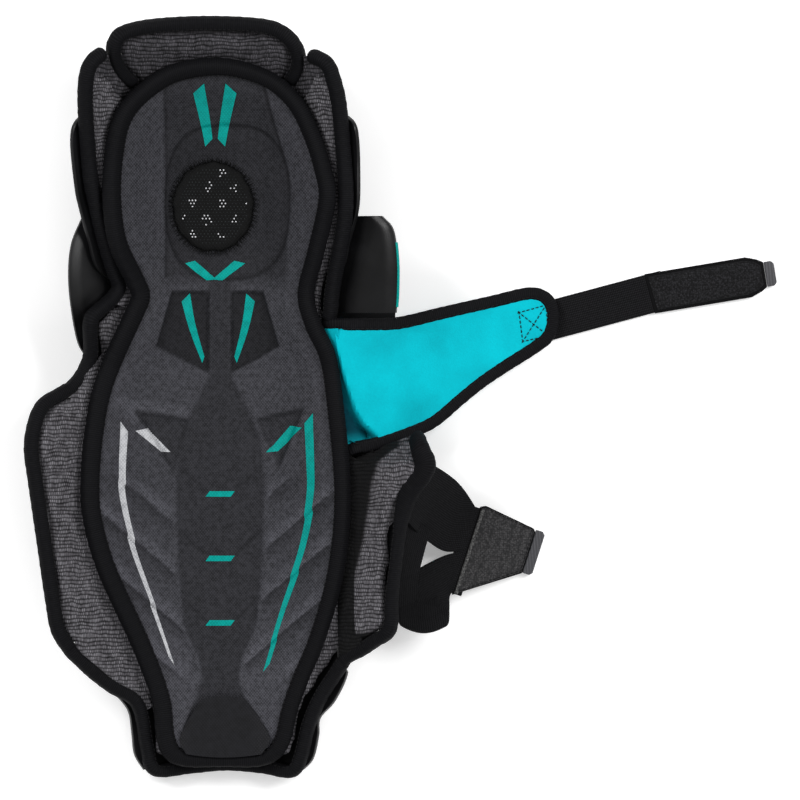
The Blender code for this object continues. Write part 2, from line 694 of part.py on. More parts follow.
def liner_fittings(pivot):
    """Abrasion patch on the liner, and the hook and loop dots that hold it on the carrier."""
    levels = spread((PATCH_LEFT[0][1] + 1, 14), (PATCH_LEFT[-1][1], 1))
    spot = between(edge_at(flow(plan(PATCH_LEFT), 12)), edge_at(flow(plan(PATCH_RIGHT), 12)), levels)
    panel("abrasion_patch", "tape", spot, len(levels) - 1, 6, PATCH_LOW, PATCH_WALL, pivot)
    for name, y in DOT_PLACES.items():
        height = BASE_HIGH + SEAT_GAP
        disc(f"hook_dot_{name}", "webbing", DOT_RADIUS, FASTENER_WALL,
             Matrix.Translation((0, level(y), height)))
        height += FASTENER_WALL + SEAT_GAP
        disc(f"loop_dot_{name}", "webbing", DOT_RADIUS, FASTENER_WALL,
             Matrix.Translation((0, level(y), height)), pivot)


def knee_disc(pivot):
    """Oval mesh disc in the liner's knee cup."""
    cx, cy = stretch(*KNEE_DISC)

    def spot(u, v):
        a, b = 2 * u - 1, 2 * v - 1
        return (cx + KNEE_DISC_REACH[0] * ACROSS * a * math.sqrt(1 - b * b / 2),
                cy + KNEE_DISC_REACH[1] * UP * b * math.sqrt(1 - a * a / 2))

    panel("knee_disc", "tape", spot, 6, 6, DISC_LOW, DISC_WALL, pivot)


def wrap_height(x, y):
    """Height of the middle of the calf wrap, which droops from its sewn edge to the floor."""
    top, low = (Vector(p) for p in plan(WRAP_ROOT))
    run = low - top
    share = (Vector((x, y)) - top).dot(run) / run.length_squared
    away = run.cross(Vector((x, y)) - top) / run.length
    depth = BASE_HIGH - WRAP_FOAM / 2
    start, end = layer(*top, depth, BASE_MID).z, layer(*low, depth, BASE_MID).z
    root = start + (end - start) * share
    return root + (WRAP_TIP_HEIGHT - root) * smooth_step(0, WRAP_REACH * ACROSS, away)


def calf_wrap():
    """Drooping wrap panel with its binding, hinged along its sewn edge."""
    ends = [Vector(p) for p in plan(WRAP_ROOT)]
    corner = layer(*ends[0], BASE_HIGH, BASE_MID)
    pivot = joint_at("wrap_fold", corner)
    route = flow(plan(WRAP_ROUTE), 40)
    edge = inner_side(route, -1, WRAP_BINDING_RADIUS + EDGE_GAP, lambda x, y: (0, 0))
    tip = max(range(len(edge)), key=lambda i: edge[i].x)
    top = [ends[0].lerp(ends[1], 0.05)] + edge[:tip - 1]
    low = [ends[1].lerp(ends[0], 0.09)] + edge[:tip + 1:-1]
    raised = [[Vector((p.x, p.y, wrap_height(p.x, p.y))) for p in line] for line in (low, top)]
    ribbon("wrap_panel", "teal", *raised, WRAP_FOAM, 5, 12, pivot)
    line = [Vector((p.x, p.y, wrap_height(p.x, p.y))) for p in route]
    binding("wrap_binding", line, WRAP_BINDING_RADIUS, pivot)
    return pivot


def rounded_tab(start, length, width, end_width, lean):
    """Outline of a strap end: a root edge that leans to meet the strap before it, and cut corners."""
    half, end = width / 2, end_width / 2
    slip = half * math.tan(lean)
    return [(start + slip, -half), (length - 12, -half), (length - 4, -half + 3), (length, -end),
            (length, end), (length - 4, half - 3), (length - 12, half), (start - slip, half)]


def upper_strap(wrap):
    """Elastic strap on a tongue under the tip of the wrap, with a hook tab and a pull, lying on the floor."""
    height = FLOOR_GAP + STRAP_WALL / 2
    turn, tab_turn = math.radians(ELASTIC_TURN), math.radians(HOOK_TAB_TURN)
    start = Vector((*stretch(*ELASTIC_START), height))
    pivot = joint_at("upper_strap_fold", start + Vector((0, 0, STRAP_WALL / 2)))
    base = Matrix.Translation(start) @ Matrix.Rotation(turn, 4, "Z")
    half = ELASTIC_WIDTH / 2
    for name, x, end, holder in (("upper_strap_tongue", -TONGUE_LENGTH, -FOLD_GAP, wrap),
                                 ("upper_strap_elastic", 0, ELASTIC_LENGTH, pivot)):
        outline = [(x, -half), (end, -half), (end, half), (x, half)]
        flat_piece(name, "webbing", outline, STRAP_WALL, base, holder)
    base = base @ Matrix.Translation((ELASTIC_LENGTH, 0, 0)) @ Matrix.Rotation(tab_turn - turn, 4, "Z")
    outline = rounded_tab(SEAT_GAP, HOOK_TAB_LENGTH, HOOK_TAB_WIDTH, PULL_WIDTH, turn - tab_turn)
    flat_piece("upper_strap_hook_tab", "webbing", outline, STRAP_WALL, base, pivot)
    tip = base @ Matrix.Translation((HOOK_TAB_LENGTH + SEAT_GAP, 0, 0))
    strap_pull("upper_strap_pull", tip, PULL_WIDTH, pivot)


def strap_pull(name, base, width, pivot):
    """Small moulded grip at the end of a strap."""
    half = width / 2
    outline = [(0, -half), (PULL_LENGTH - 2, -half), (PULL_LENGTH, -half + 2), (PULL_LENGTH, half - 2),
               (PULL_LENGTH - 2, half), (0, half)]
    lift = Matrix.Translation((0, 0, (PULL_WALL - STRAP_WALL) / 2))
    flat_piece(name, "rubber", outline, PULL_WALL, base @ lift, pivot)


def sloping(points, start, end):
    """A plan route given heights that ease from start to end."""
    last = len(points) - 1
    return [Vector((*p, start + (end - start) * smooth_step(0, 1, k / last))) for k, p in enumerate(points)]


def y_strap():
    """Forked elastic strap from the right calf wing down to a hook tab on the floor."""
    line = [Vector((*p, Y_TAB_HEIGHT)) for p in plan(Y_TAB_EDGE)]
    along = (line[1] - line[0]).normalized()
    out = along.cross(Vector((0, 0, 1)))
    sewn = [p - out * (FOLD_GAP + SEAT_GAP) for p in line]
    root_x = ANCHOR_REACH[1] * ACROSS + FOLD_GAP + STRAP_WALL / 2
    roots = [layer(root_x, level(y), LANDING_LOW + LANDING_WALL / 2) for y in UPPER_LEG_ROOT]
    pivot = joint_at("y_strap_fold", layer(ANCHOR_REACH[1] * ACROSS, roots[1].y, LANDING_LOW + LANDING_WALL))
    edges = []
    for root, side, share in zip(roots, (UPPER_LEG_LOW, UPPER_LEG_TOP), UPPER_LEG_SHARE):
        route = [root.xy, *plan(side), sewn[0].lerp(sewn[1], share).xy]
        edges.append(sloping(route, root.z, Y_TAB_HEIGHT))
    ribbon("y_strap_upper_leg", "webbing", *edges, STRAP_WALL, 2, 10, pivot)
    edges = []
    for side, share in zip((LOWER_LEG_OUT, LOWER_LEG_IN), LOWER_LEG_SHARE):
        route = sloping([sewn[0].lerp(sewn[1], share).xy, *plan(side)], Y_TAB_HEIGHT, LOWER_LEG_HEIGHT)
        edges.append(route + folded_back(route[-1]))
    ribbon("y_strap_lower_leg", "webbing", *edges[::-1], STRAP_WALL, 2, 18, pivot)
    y_tab(line[0], along, out)


def folded_back(end):
    """The end of a strap that turns under and runs back up the leg."""
    bend = [Vector((0, -math.sin(a), math.cos(a) - 1)) * LOWER_LEG_BEND for a in (0.8, 1.57, 2.35, math.pi)]
    turned = [end + step for step in bend]
    return turned + [turned[-1] + Vector((0, LOWER_LEG_RETURN * k / 2, 0)) for k in (1, 2)]


def y_tab(corner, along, out):
    """Hook tab at the end of the forked strap, sloping down to the floor, with its pull."""
    pivot = joint_at("y_tab_fold", corner + along * Y_TAB_ROOT_WIDTH / 2 + Vector((0, 0, STRAP_WALL / 2)))
    drop = Y_TAB_HEIGHT - FLOOR_GAP - STRAP_WALL / 2 - SEAT_GAP
    slope = math.asin(drop / (Y_TAB_LENGTH + PULL_LENGTH))
    down = out * math.cos(slope) - Vector((0, 0, math.sin(slope)))
    frame = Matrix((down, along, down.cross(along))).transposed().to_4x4()
    base = Matrix.Translation(corner) @ frame
    low, high = Y_TAB_SKEW * 2, Y_TAB_SKEW * 2 + Y_TAB_END_WIDTH
    outline = [(SEAT_GAP, 0), (Y_TAB_LENGTH, low), (Y_TAB_LENGTH, high - 2), (Y_TAB_LENGTH - 2, high),
               (4, Y_TAB_ROOT_WIDTH + 2), (SEAT_GAP, Y_TAB_ROOT_WIDTH)]
    flat_piece("y_strap_hook_tab", "webbing", outline, STRAP_WALL, base, pivot)
    middle = Matrix.Translation((Y_TAB_LENGTH + SEAT_GAP, (low + high) / 2, 0))
    strap_pull("y_strap_pull", base @ middle, Y_TAB_END_WIDTH - 4, pivot)


for old in list(bpy.data.objects):
    bpy.data.objects.remove(old)
PARTS = bpy.data.collections.new("hockey_shin_guard")
CUTTERS = bpy.data.collections.new("cutters")
for group in (PARTS, CUTTERS):
    bpy.context.scene.collection.children.link(group)

knee_cap()
shin_cap()
side_shields()
rivets()
base_pad()
thigh_guard()
liner_pivot = liner()
liner_fittings(liner_pivot)
knee_disc(liner_pivot)
left_wing = calf_wing("left", -1, CALF_LEFT_ROUTE, FOLD_LEFT, CALF_LEFT_SPAN)
right_wing = calf_wing("right", 1, CALF_RIGHT_ROUTE, FOLD_RIGHT, CALF_RIGHT_SPAN)
for patch, (reach, span) in LOOP_PATCHES.items():
    landing(f"loop_patch_{patch}", reach, span, left_wing)
landing("y_strap_anchor", ANCHOR_REACH, ANCHOR_SPAN, right_wing)
upper_strap(calf_wrap())
y_strap()
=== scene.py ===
"""Looks of a hockey shin guard that lies on its front, leg side up, with its straps laid out.

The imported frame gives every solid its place. Each class below dresses one sub-assembly of it, and every length in
a table or a field is in millimetres in the guard's own frame: the origin is the middle of the knee, +Y runs up the
leg, +Z points to the leg and +X to the side that the straps come from.
"""
from __future__ import annotations

import json
import logging
import math
from dataclasses import dataclass, field
from enum import Enum
from typing import Any, Callable, Sequence

import bmesh
import bpy
import numpy as np
from mathutils import Matrix, Vector

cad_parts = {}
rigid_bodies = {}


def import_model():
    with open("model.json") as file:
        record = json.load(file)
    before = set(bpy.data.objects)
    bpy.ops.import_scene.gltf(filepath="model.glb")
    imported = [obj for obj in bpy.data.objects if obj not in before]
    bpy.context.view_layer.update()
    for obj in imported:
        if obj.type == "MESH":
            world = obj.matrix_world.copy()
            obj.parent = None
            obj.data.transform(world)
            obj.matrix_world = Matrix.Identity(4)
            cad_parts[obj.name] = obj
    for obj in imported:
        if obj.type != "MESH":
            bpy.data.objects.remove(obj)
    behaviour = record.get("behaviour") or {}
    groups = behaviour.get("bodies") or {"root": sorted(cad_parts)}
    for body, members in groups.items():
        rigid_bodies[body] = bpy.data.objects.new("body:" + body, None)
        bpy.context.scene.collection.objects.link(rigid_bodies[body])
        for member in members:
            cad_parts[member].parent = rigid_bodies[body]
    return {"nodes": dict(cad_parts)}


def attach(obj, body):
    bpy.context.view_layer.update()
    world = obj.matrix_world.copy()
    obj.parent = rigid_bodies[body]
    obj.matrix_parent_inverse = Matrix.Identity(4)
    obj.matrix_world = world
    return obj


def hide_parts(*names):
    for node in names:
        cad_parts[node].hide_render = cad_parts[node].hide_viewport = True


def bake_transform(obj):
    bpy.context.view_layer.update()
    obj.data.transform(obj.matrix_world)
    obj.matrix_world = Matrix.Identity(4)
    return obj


LOG = logging.getLogger("shin_guard")
MM = 0.001
Points = np.ndarray
Route = Sequence[tuple[float, float]]

# Depth of each layer behind the guard's front surface
CAP_WALL = 3.0
BASE_LOW, BASE_HIGH = 4.1, 13.1
BASE_MID = (BASE_LOW + BASE_HIGH) / 2
LINER_LOW, LINER_HIGH = 16.0, 26.5
LINER_MID = (LINER_LOW + LINER_HIGH - 1.2) / 2
PATCH_LOW = LINER_HIGH + 0.6
LANDING_LOW = BASE_LOW - 1.6


class Body(Enum):
    """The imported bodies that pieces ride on."""

    SHELL = "shell"
    LINER = "liner"
    THIGH = "thigh_guard"
    WING_LEFT = "calf_wing_left"
    WING_RIGHT = "calf_wing_right"
    WRAP = "calf_wrap"
    UPPER_STRAP = "upper_strap"
    Y_STRAP = "y_strap"
    Y_TAB = "y_tab"


class Slot(Enum):
    """The record's material slots."""

    PLASTIC = "shell_plastic"
    RIVET = "rivet_steel"
    KNIT = "knit_mesh"
    TAPE = "edge_binding"
    LINER = "liner_fabric"
    DISC = "disc_mesh"
    FILM = "abrasion_film"
    PILE = "hook_and_loop"
    WRAP = "wrap_neoprene"
    WEBBING = "strap_webbing"
    RUBBER = "pull_rubber"


class Stud(Enum):
    """Shapes that can be set on points."""

    DOME = "dome"
    DISC = "disc"
    SPIKE = "spike"


def linear(colour: str) -> tuple[float, float, float, float]:
    """Turn an sRGB hex colour into Blender's linear one.

    Args:
        colour: six hex digits after a hash sign.

    Returns:
        Linear red, green, blue and an alpha of 1.
    """
    parts = [int(colour[i:i + 2], 16) / 255 for i in (1, 3, 5)]
    red, green, blue = (c / 12.92 if c <= 0.04045 else ((c + 0.055) / 1.055) ** 2.4 for c in parts)
    return red, green, blue, 1.0


def add_node(tree: bpy.types.NodeTree, kind: str, inputs: dict | None = None, **settings: Any) -> bpy.types.Node:
    """Add one node with its settings, values and links.

    Args:
        tree: the node tree to add to.
        kind: the node's type name.
        inputs: socket name or number to a value, or to the socket that feeds it.
        **settings: properties of the node.

    Returns:
        The new node.
    """
    node = tree.nodes.new(kind)
    for key, value in settings.items():
        setattr(node, key, value)
    for key, value in (inputs or {}).items():
        if isinstance(value, bpy.types.NodeSocket):
            tree.links.new(value, node.inputs[key])
        else:
            node.inputs[key].default_value = value
    return node


def smooth_step(low: float, high: float, value: Points) -> Points:
    """A ramp from 0 at low to 1 at high with soft ends."""
    t = np.clip((value - low) / (high - low), 0, 1)
    return t * t * (3 - 2 * t)


def even(line: Points, step: float, closed: bool = False) -> Points:
    """Even points along a line.

    Args:
        line: the points of the line; a closed one repeats its first point at the end.
        step: the spacing wanted.
        closed: whether to leave the repeated point off.

    Returns:
        Points about a step apart.
    """
    run = np.concatenate([[0], np.cumsum(np.linalg.norm(np.diff(line, axis=0), axis=1))])
    stops = np.linspace(0, run[-1], max(3, round(run[-1] / step)) + 1)
    found = np.stack([np.interp(stops, run, line[:, axis]) for axis in range(line.shape[1])], 1)
    return found[:-1] if closed else found


def flow(points: Route | Points, step: float, closed: bool = False) -> Points:
    """Even points on a smooth curve through the given ones.

    Args:
        points: the points to pass through, in two or three dimensions.
        step: the spacing wanted.
        closed: whether the curve runs back to its start.

    Returns:
        The points of the curve.
    """
    knots = np.asarray(points, float)
    if closed:
        ring = np.vstack([knots[-1:], knots, knots[:2]])
    else:
        ring = np.vstack([2 * knots[:1] - knots[1:2], knots, 2 * knots[-1:] - knots[-2:-1]])
    t = np.linspace(0, 1, 14, endpoint=False)[:, None]
    fine = []
    for a, b, c, d in zip(ring, ring[1:], ring[2:], ring[3:]):
        fine.append(0.5 * (2 * b + (c - a) * t + (2 * a - 5 * b + 4 * c - d) * t ** 2 + (3 * b - a - 3 * c + d) * t ** 3))
    fine.append(ring[-2:-1])
    return even(np.vstack(fine), step, closed)


def unit(vectors: Points) -> Points:
    """Vectors at length 1."""
    return vectors / np.linalg.norm(vectors, axis=-1, keepdims=True)


def tangents(line: Points, closed: bool) -> Points:
    """Directions along a line at each of its points."""
    if closed:
        return unit(np.roll(line, -1, axis=0) - np.roll(line, 1, axis=0))
    return unit(np.gradient(line, axis=0))


def edge_at(edge: Points) -> Callable[[Points], Points]:
    """The sideways place of an edge as a function of the place along the leg."""
    rows = edge[np.argsort(edge[:, 1])]
    return lambda y: np.interp(y, rows[:, 1], rows[:, 0])


@dataclass(frozen=True)
class GuardSurface:
    """The curved front face of the guard, which every padded layer lies behind."""

    sections: tuple[tuple[float, float, float, float], ...] = (
        (-415, 0, 1.05, 70), (-370, 0, 0.95, 72), (-335, 0, 0.85, 75), (-118, 0, 0.85, 75), (-75, 4, 1.5, 95),
        (-25, 0, 2.2, 110), (25, 0, 2.2, 110), (60, 9, 2.2, 110), (100, 34, 1.9, 105), (140, 62, 1.6, 90),
    )
    flat: float = 18.0

    def curve(self, column: int, y: Points) -> Points:
        """One column of the sections as a smooth curve that never swings past its values."""
        table = np.array(self.sections)
        knots, values = table[:, 0], table[:, column]
        steps = np.diff(knots)
        rates = np.diff(values) / steps
        slopes = np.zeros(len(knots))
        same = rates[:-1] * rates[1:] > 0
        total = np.where(same, rates[:-1] + rates[1:], 1)
        slopes[1:-1] = np.where(same, 2 * rates[:-1] * rates[1:] / total, 0)
        k = np.clip(np.searchsorted(knots, y) - 1, 0, len(knots) - 2)
        t = np.clip((y - knots[k]) / steps[k], 0, 1)
        start, end, rise = slopes[k] * steps[k], slopes[k + 1] * steps[k], values[k + 1] - values[k]
        return values[k] + start * t + (3 * rise - 2 * start - end) * t ** 2 + (start + end - 2 * rise) * t ** 3

    def height(self, x: Points, y: Points) -> Points:
        """Height of the surface over the floor."""
        roundness = self.curve(3, y)
        reach = np.maximum(np.abs(x) - self.flat, 0)
        return self.curve(1, y) + self.curve(2, y) * (np.hypot(reach, roundness) - roundness)

    def square(self, x: Points, y: Points) -> Points:
        """Direction square to the surface, towards the leg."""
        across = self.height(x + 0.5, y) - self.height(x - 0.5, y)
        along = self.height(x, y + 0.5) - self.height(x, y - 0.5)
        return unit(np.stack([-across, -along, np.ones_like(across)], -1))

    def behind(self, x: Points, y: Points, depth: Points | float) -> Points:
        """Points at a depth behind the surface."""
        x, y = np.asarray(x, float), np.asarray(y, float)
        foot = np.stack([x, y, self.height(x, y)], -1)
        return foot + self.square(x, y) * np.asarray(depth, float)[..., None]

    def layer(self, x: Points, y: Points, depth: Points | float, seen_at: Points | float | None = None) -> Points:
        """Points at a depth, placed so that the depth seen_at lies over x, y.

        Args:
            x: sideways places.
            y: places along the leg.
            depth: depth of the points.
            seen_at: the depth that is seen at x, y, if it is another one.

        Returns:
            The points in space.
        """
        x, y = np.asarray(x, float), np.asarray(y, float)
        seen = depth if seen_at is None else seen_at
        fx, fy = x, y
        for _ in range(6):
            spot = self.behind(fx, fy, seen)
            fx, fy = fx + x - spot[..., 0], fy + y - spot[..., 1]
        return self.behind(fx, fy, depth)

    def measure(self, points: Points) -> tuple[Points, Points]:
        """Depth of points in space, and the direction square to the surface at each."""
        foot = points.copy()
        for _ in range(8):
            foot[:, 2] = self.height(foot[:, 0], foot[:, 1])
            square = self.square(foot[:, 0], foot[:, 1])
            away = points - foot
            depth = (away * square).sum(axis=1)
            foot[:, :2] += (away - square * depth[:, None])[:, :2]
        return depth, square


SURFACE = GuardSurface()


def finish_mesh(mesh: bpy.types.Mesh, sharp: float = 42.0) -> bpy.types.Mesh:
    """Point a closed mesh's faces outwards and shade it smooth, with edges sharper than an angle kept."""
    bm = bmesh.new()
    bm.from_mesh(mesh)
    bmesh.ops.recalc_face_normals(bm, faces=bm.faces)
    bm.to_mesh(mesh)
    bm.free()
    mesh.shade_smooth()
    mesh.set_sharp_from_angle(angle=math.radians(sharp))
    return mesh


def solid(name: str, points: Points, faces: list, corners: Points | None = None) -> bpy.types.Mesh:
    """A mesh from points in millimetres.

    Args:
        name: name of the mesh.
        points: its points.
        faces: lists of point numbers.
        corners: a UV place for each face corner, if there are any.

    Returns:
        The mesh, in metres.
    """
    mesh = bpy.data.meshes.new(name)
    mesh.from_pydata((points * MM).tolist(), [], faces)
    if corners is not None:
        mesh.uv_layers.new(name="UVMap").data.foreach_set("uv", corners.ravel())
    return finish_mesh(mesh)


def slab(name: str, top: Points, low: Points) -> bpy.types.Mesh:
    """A closed sheet between two grids of points, with UV in metres along and across.

    Args:
        name: name of the mesh.
        top: rows by columns by 3 points of one face.
        low: the same for the other face.

    Returns:
        The mesh.
    """
    rows, columns = top.shape[:2]
    size = rows * columns
    index = np.arange(size).reshape(rows, columns)
    quads = np.stack([index[:-1, :-1], index[:-1, 1:], index[1:, 1:], index[1:, :-1]], -1).reshape(-1, 4)
    rim = np.concatenate([index[0], index[1:, -1], index[-1, -2::-1], index[-2:0:-1, 0]])
    after = np.roll(rim, -1)
    wall = np.stack([after, rim, rim + size, after + size], -1)
    faces = np.concatenate([quads, quads[:, ::-1] + size, wall])
    across = np.linalg.norm(np.diff(top, axis=1, prepend=top[:, :1]), axis=-1).cumsum(axis=1)
    along = np.linalg.norm(np.diff(top, axis=0, prepend=top[:1]), axis=-1).cumsum(axis=0)
    flat = np.stack([across, along], -1).reshape(-1, 2) * MM
    corners = np.concatenate([flat, flat])[faces.ravel()]
    return solid(name, np.concatenate([top.reshape(-1, 3), low.reshape(-1, 3)]), faces.tolist(), corners)


def ribbon(name: str, one: Points, other: Points, wall: float, rows: int, bow: Points | float = 0.0) -> bpy.types.Mesh:
    """A strap between two edge lines with the same number of points.

    Args:
        name: name of the mesh.
        one: points of one edge.
        other: points of the other edge.
        wall: its thickness.
        rows: faces across it.
        bow: how far its middle line lies from halfway between the edges, as a vector for each point.

    Returns:
        The mesh.
    """
    share = (1 - np.cos(np.linspace(0, math.pi, rows + 1))) / 2
    share = share[:, None, None]
    middle = one[None] + (other - one)[None] * share + 4 * share * (1 - share) * bow
    along = np.gradient(middle, axis=1)
    across = np.gradient(middle, axis=0)
    square = unit(np.cross(along, across))
    edge = np.minimum(share, 1 - share) * np.linalg.norm(other - one, axis=1).mean()
    half = wall / 2 * np.sqrt(np.clip(1 - np.clip(1 - edge / (wall / 2), 0, 1) ** 2, 0.04, 1))
    return slab(name, middle + square * half, middle - square * half)


def sweep(name: str, centre: Points, side: Points, up: Points, profile: Points, closed: bool) -> bpy.types.Mesh:
    """A tape along a line.

    Args:
        name: name of the mesh.
        centre: points of the line.
        side: direction to the inner side at each point.
        up: direction to the leg at each point.
        profile: for each point, a ring of places along side and up.
        closed: whether the line runs back to its start.

    Returns:
        The mesh, with UV in metres along and round the tape.
    """
    ring = centre[:, None] + side[:, None] * profile[..., :1] + up[:, None] * profile[..., 1:]
    count, around = ring.shape[:2]
    index = np.arange(count * around).reshape(count, around)
    grid = np.vstack([index, index[:1]]) if closed else index
    grid = np.hstack([grid, grid[:, :1]])
    quads = np.stack([grid[:-1, :-1], grid[:-1, 1:], grid[1:, 1:], grid[1:, :-1]], -1).reshape(-1, 4)
    ends = np.vstack([centre, centre[:1]]) if closed else centre
    u = np.concatenate([[0], np.linalg.norm(np.diff(ends, axis=0), axis=1).cumsum()]) * MM
    loop = np.vstack([profile[0], profile[0][:1]])
    v = np.concatenate([[0], np.linalg.norm(np.diff(loop, axis=0), axis=1).cumsum()]) * MM
    uu, vv = np.meshgrid(u, v, indexing="ij")
    flat = np.stack([uu, vv], -1)
    corners = np.stack([flat[:-1, :-1], flat[:-1, 1:], flat[1:, 1:], flat[1:, :-1]], 2).reshape(-1, 2)
    faces = quads.tolist()
    if not closed:
        faces += [index[0].tolist(), index[-1, ::-1].tolist()]
        corners = np.concatenate([corners, np.zeros((2 * around, 2))])
    return solid(name, ring.reshape(-1, 3), faces, corners)


def plate(name: str, outline: Route, wall: float, base: Matrix, bevel: float) -> bpy.types.Mesh:
    """A flat outline with a wall and softened edges.

    Args:
        name: name of the mesh.
        outline: its corners in its own plane.
        wall: its thickness, half to each side of that plane.
        base: the plane's frame.
        bevel: width of the softened edge.

    Returns:
        The mesh.
    """
    bm = bmesh.new()
    face = bm.faces.new([bm.verts.new((x, y, -wall / 2)) for x, y in outline])
    grown = bmesh.ops.extrude_face_region(bm, geom=[face])["geom"]
    bmesh.ops.translate(bm, verts=[v for v in grown if isinstance(v, bmesh.types.BMVert)], vec=(0, 0, wall))
    bmesh.ops.bevel(bm, geom=bm.edges[:], offset=bevel, segments=3, affect="EDGES", profile=0.6)
    bm.transform(Matrix.Scale(MM, 4) @ base)
    mesh = bpy.data.meshes.new(name)
    bm.to_mesh(mesh)
    bm.free()
    return finish_mesh(mesh, 60)


def put(name: str, mesh: bpy.types.Mesh, finish: "Finish", body: Body | None,
        stands_for: Sequence[str] = ()) -> bpy.types.Object:
    """Put a finished mesh in the scene as a piece.

    Args:
        name: the piece's name.
        mesh: its mesh, already in place.
        finish: what it is made of.
        body: the body it rides on, or None for a piece on no body.
        stands_for: the solids that it replaces.

    Returns:
        The piece.
    """
    mesh.materials.clear()
    mesh.materials.append(finish.make())
    piece = bpy.data.objects.new(name, mesh)
    bpy.context.scene.collection.objects.link(piece)
    if body:
        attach(piece, body.value)
    if stands_for:
        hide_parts(*stands_for)
    LOG.info("%s: %d faces", name, len(mesh.polygons))
    return piece


@dataclass(frozen=True)
class Finish:
    """A material, made once and shared."""

    name: str
    shine: float = field(default=0.15, kw_only=True)  # fabrics hardly shine; plastics and rubbers say more

    def make(self) -> bpy.types.Material:
        """Build the material, or find the one already built."""
        known = bpy.data.materials.get(self.name)
        if known:
            return known
        made = bpy.data.materials.new(self.name)
        made.use_nodes = True
        tree = made.node_tree
        tree.nodes.clear()
        shader = add_node(tree, "ShaderNodeBsdfPrincipled", {"Specular IOR Level": self.shine})
        add_node(tree, "ShaderNodeOutputMaterial", {"Surface": shader.outputs[0]})
        self.dress(tree, shader)
        return made

    def dress(self, tree: bpy.types.NodeTree, shader: bpy.types.Node) -> None:
        """Wire the finish's own nodes to the shader."""
        raise NotImplementedError

    @staticmethod
    def ramp(tree: bpy.types.NodeTree, source: bpy.types.NodeSocket, stops: Sequence[tuple[float, str]]
             ) -> bpy.types.NodeSocket:
        """Colours along a value.

        Args:
            tree: the tree to add to.
            source: the value.
            stops: places and hex colours.

        Returns:
            The colour socket.
        """
        node = add_node(tree, "ShaderNodeValToRGB", {0: source})
        bands = node.color_ramp.elements
        while len(bands) < len(stops):
            bands.new(0.5)
        for band, (place, colour) in zip(bands, stops):
            band.position = place
            band.color = linear(colour)
        return node.outputs[0]

    @staticmethod
    def waves(tree: bpy.types.NodeTree, coords: bpy.types.NodeSocket, pitch: float, turn: float = 0.0,
              sway: float = 0.0) -> bpy.types.NodeSocket:
        """Even lines across a plane.

        Args:
            tree: the tree to add to.
            coords: coordinates in metres.
            pitch: spacing of the lines in millimetres.
            turn: direction across the lines, in radians from the first coordinate.
            sway: how much the lines wander.

        Returns:
            A value from 0 to 1.
        """
        turned = add_node(tree, "ShaderNodeMapping", {"Vector": coords, "Rotation": (0, 0, -turn)})
        scale = 2 * math.pi / 20 / (pitch * MM)
        wave = add_node(tree, "ShaderNodeTexWave", {"Vector": turned.outputs[0], "Scale": scale, "Distortion": sway,
                                                    "Detail": 1.0, "Detail Scale": 0.6}, bands_direction="X")
        return wave.outputs["Fac"]

    @staticmethod
    def grain(tree: bpy.types.NodeTree, coords: bpy.types.NodeSocket, size: float, detail: float = 2.0
              ) -> bpy.types.NodeSocket:
        """Irregular grain.

        Args:
            tree: the tree to add to.
            coords: coordinates in metres.
            size: size of a grain in millimetres.
            detail: how much finer grain is added.

        Returns:
            A value around 0.5.
        """
        noise = add_node(tree, "ShaderNodeTexNoise", {"Vector": coords, "Scale": 1 / (size * MM), "Detail": detail})
        return noise.outputs["Fac"]

    @staticmethod
    def bump(tree: bpy.types.NodeTree, shader: bpy.types.Node, height: bpy.types.NodeSocket, depth: float) -> None:
        """Raise the surface by a height from 0 to 1 times a depth in millimetres."""
        node = add_node(tree, "ShaderNodeBump", {"Height": height, "Distance": depth * MM, "Strength": 0.8})
        tree.links.new(node.outputs[0], shader.inputs["Normal"])


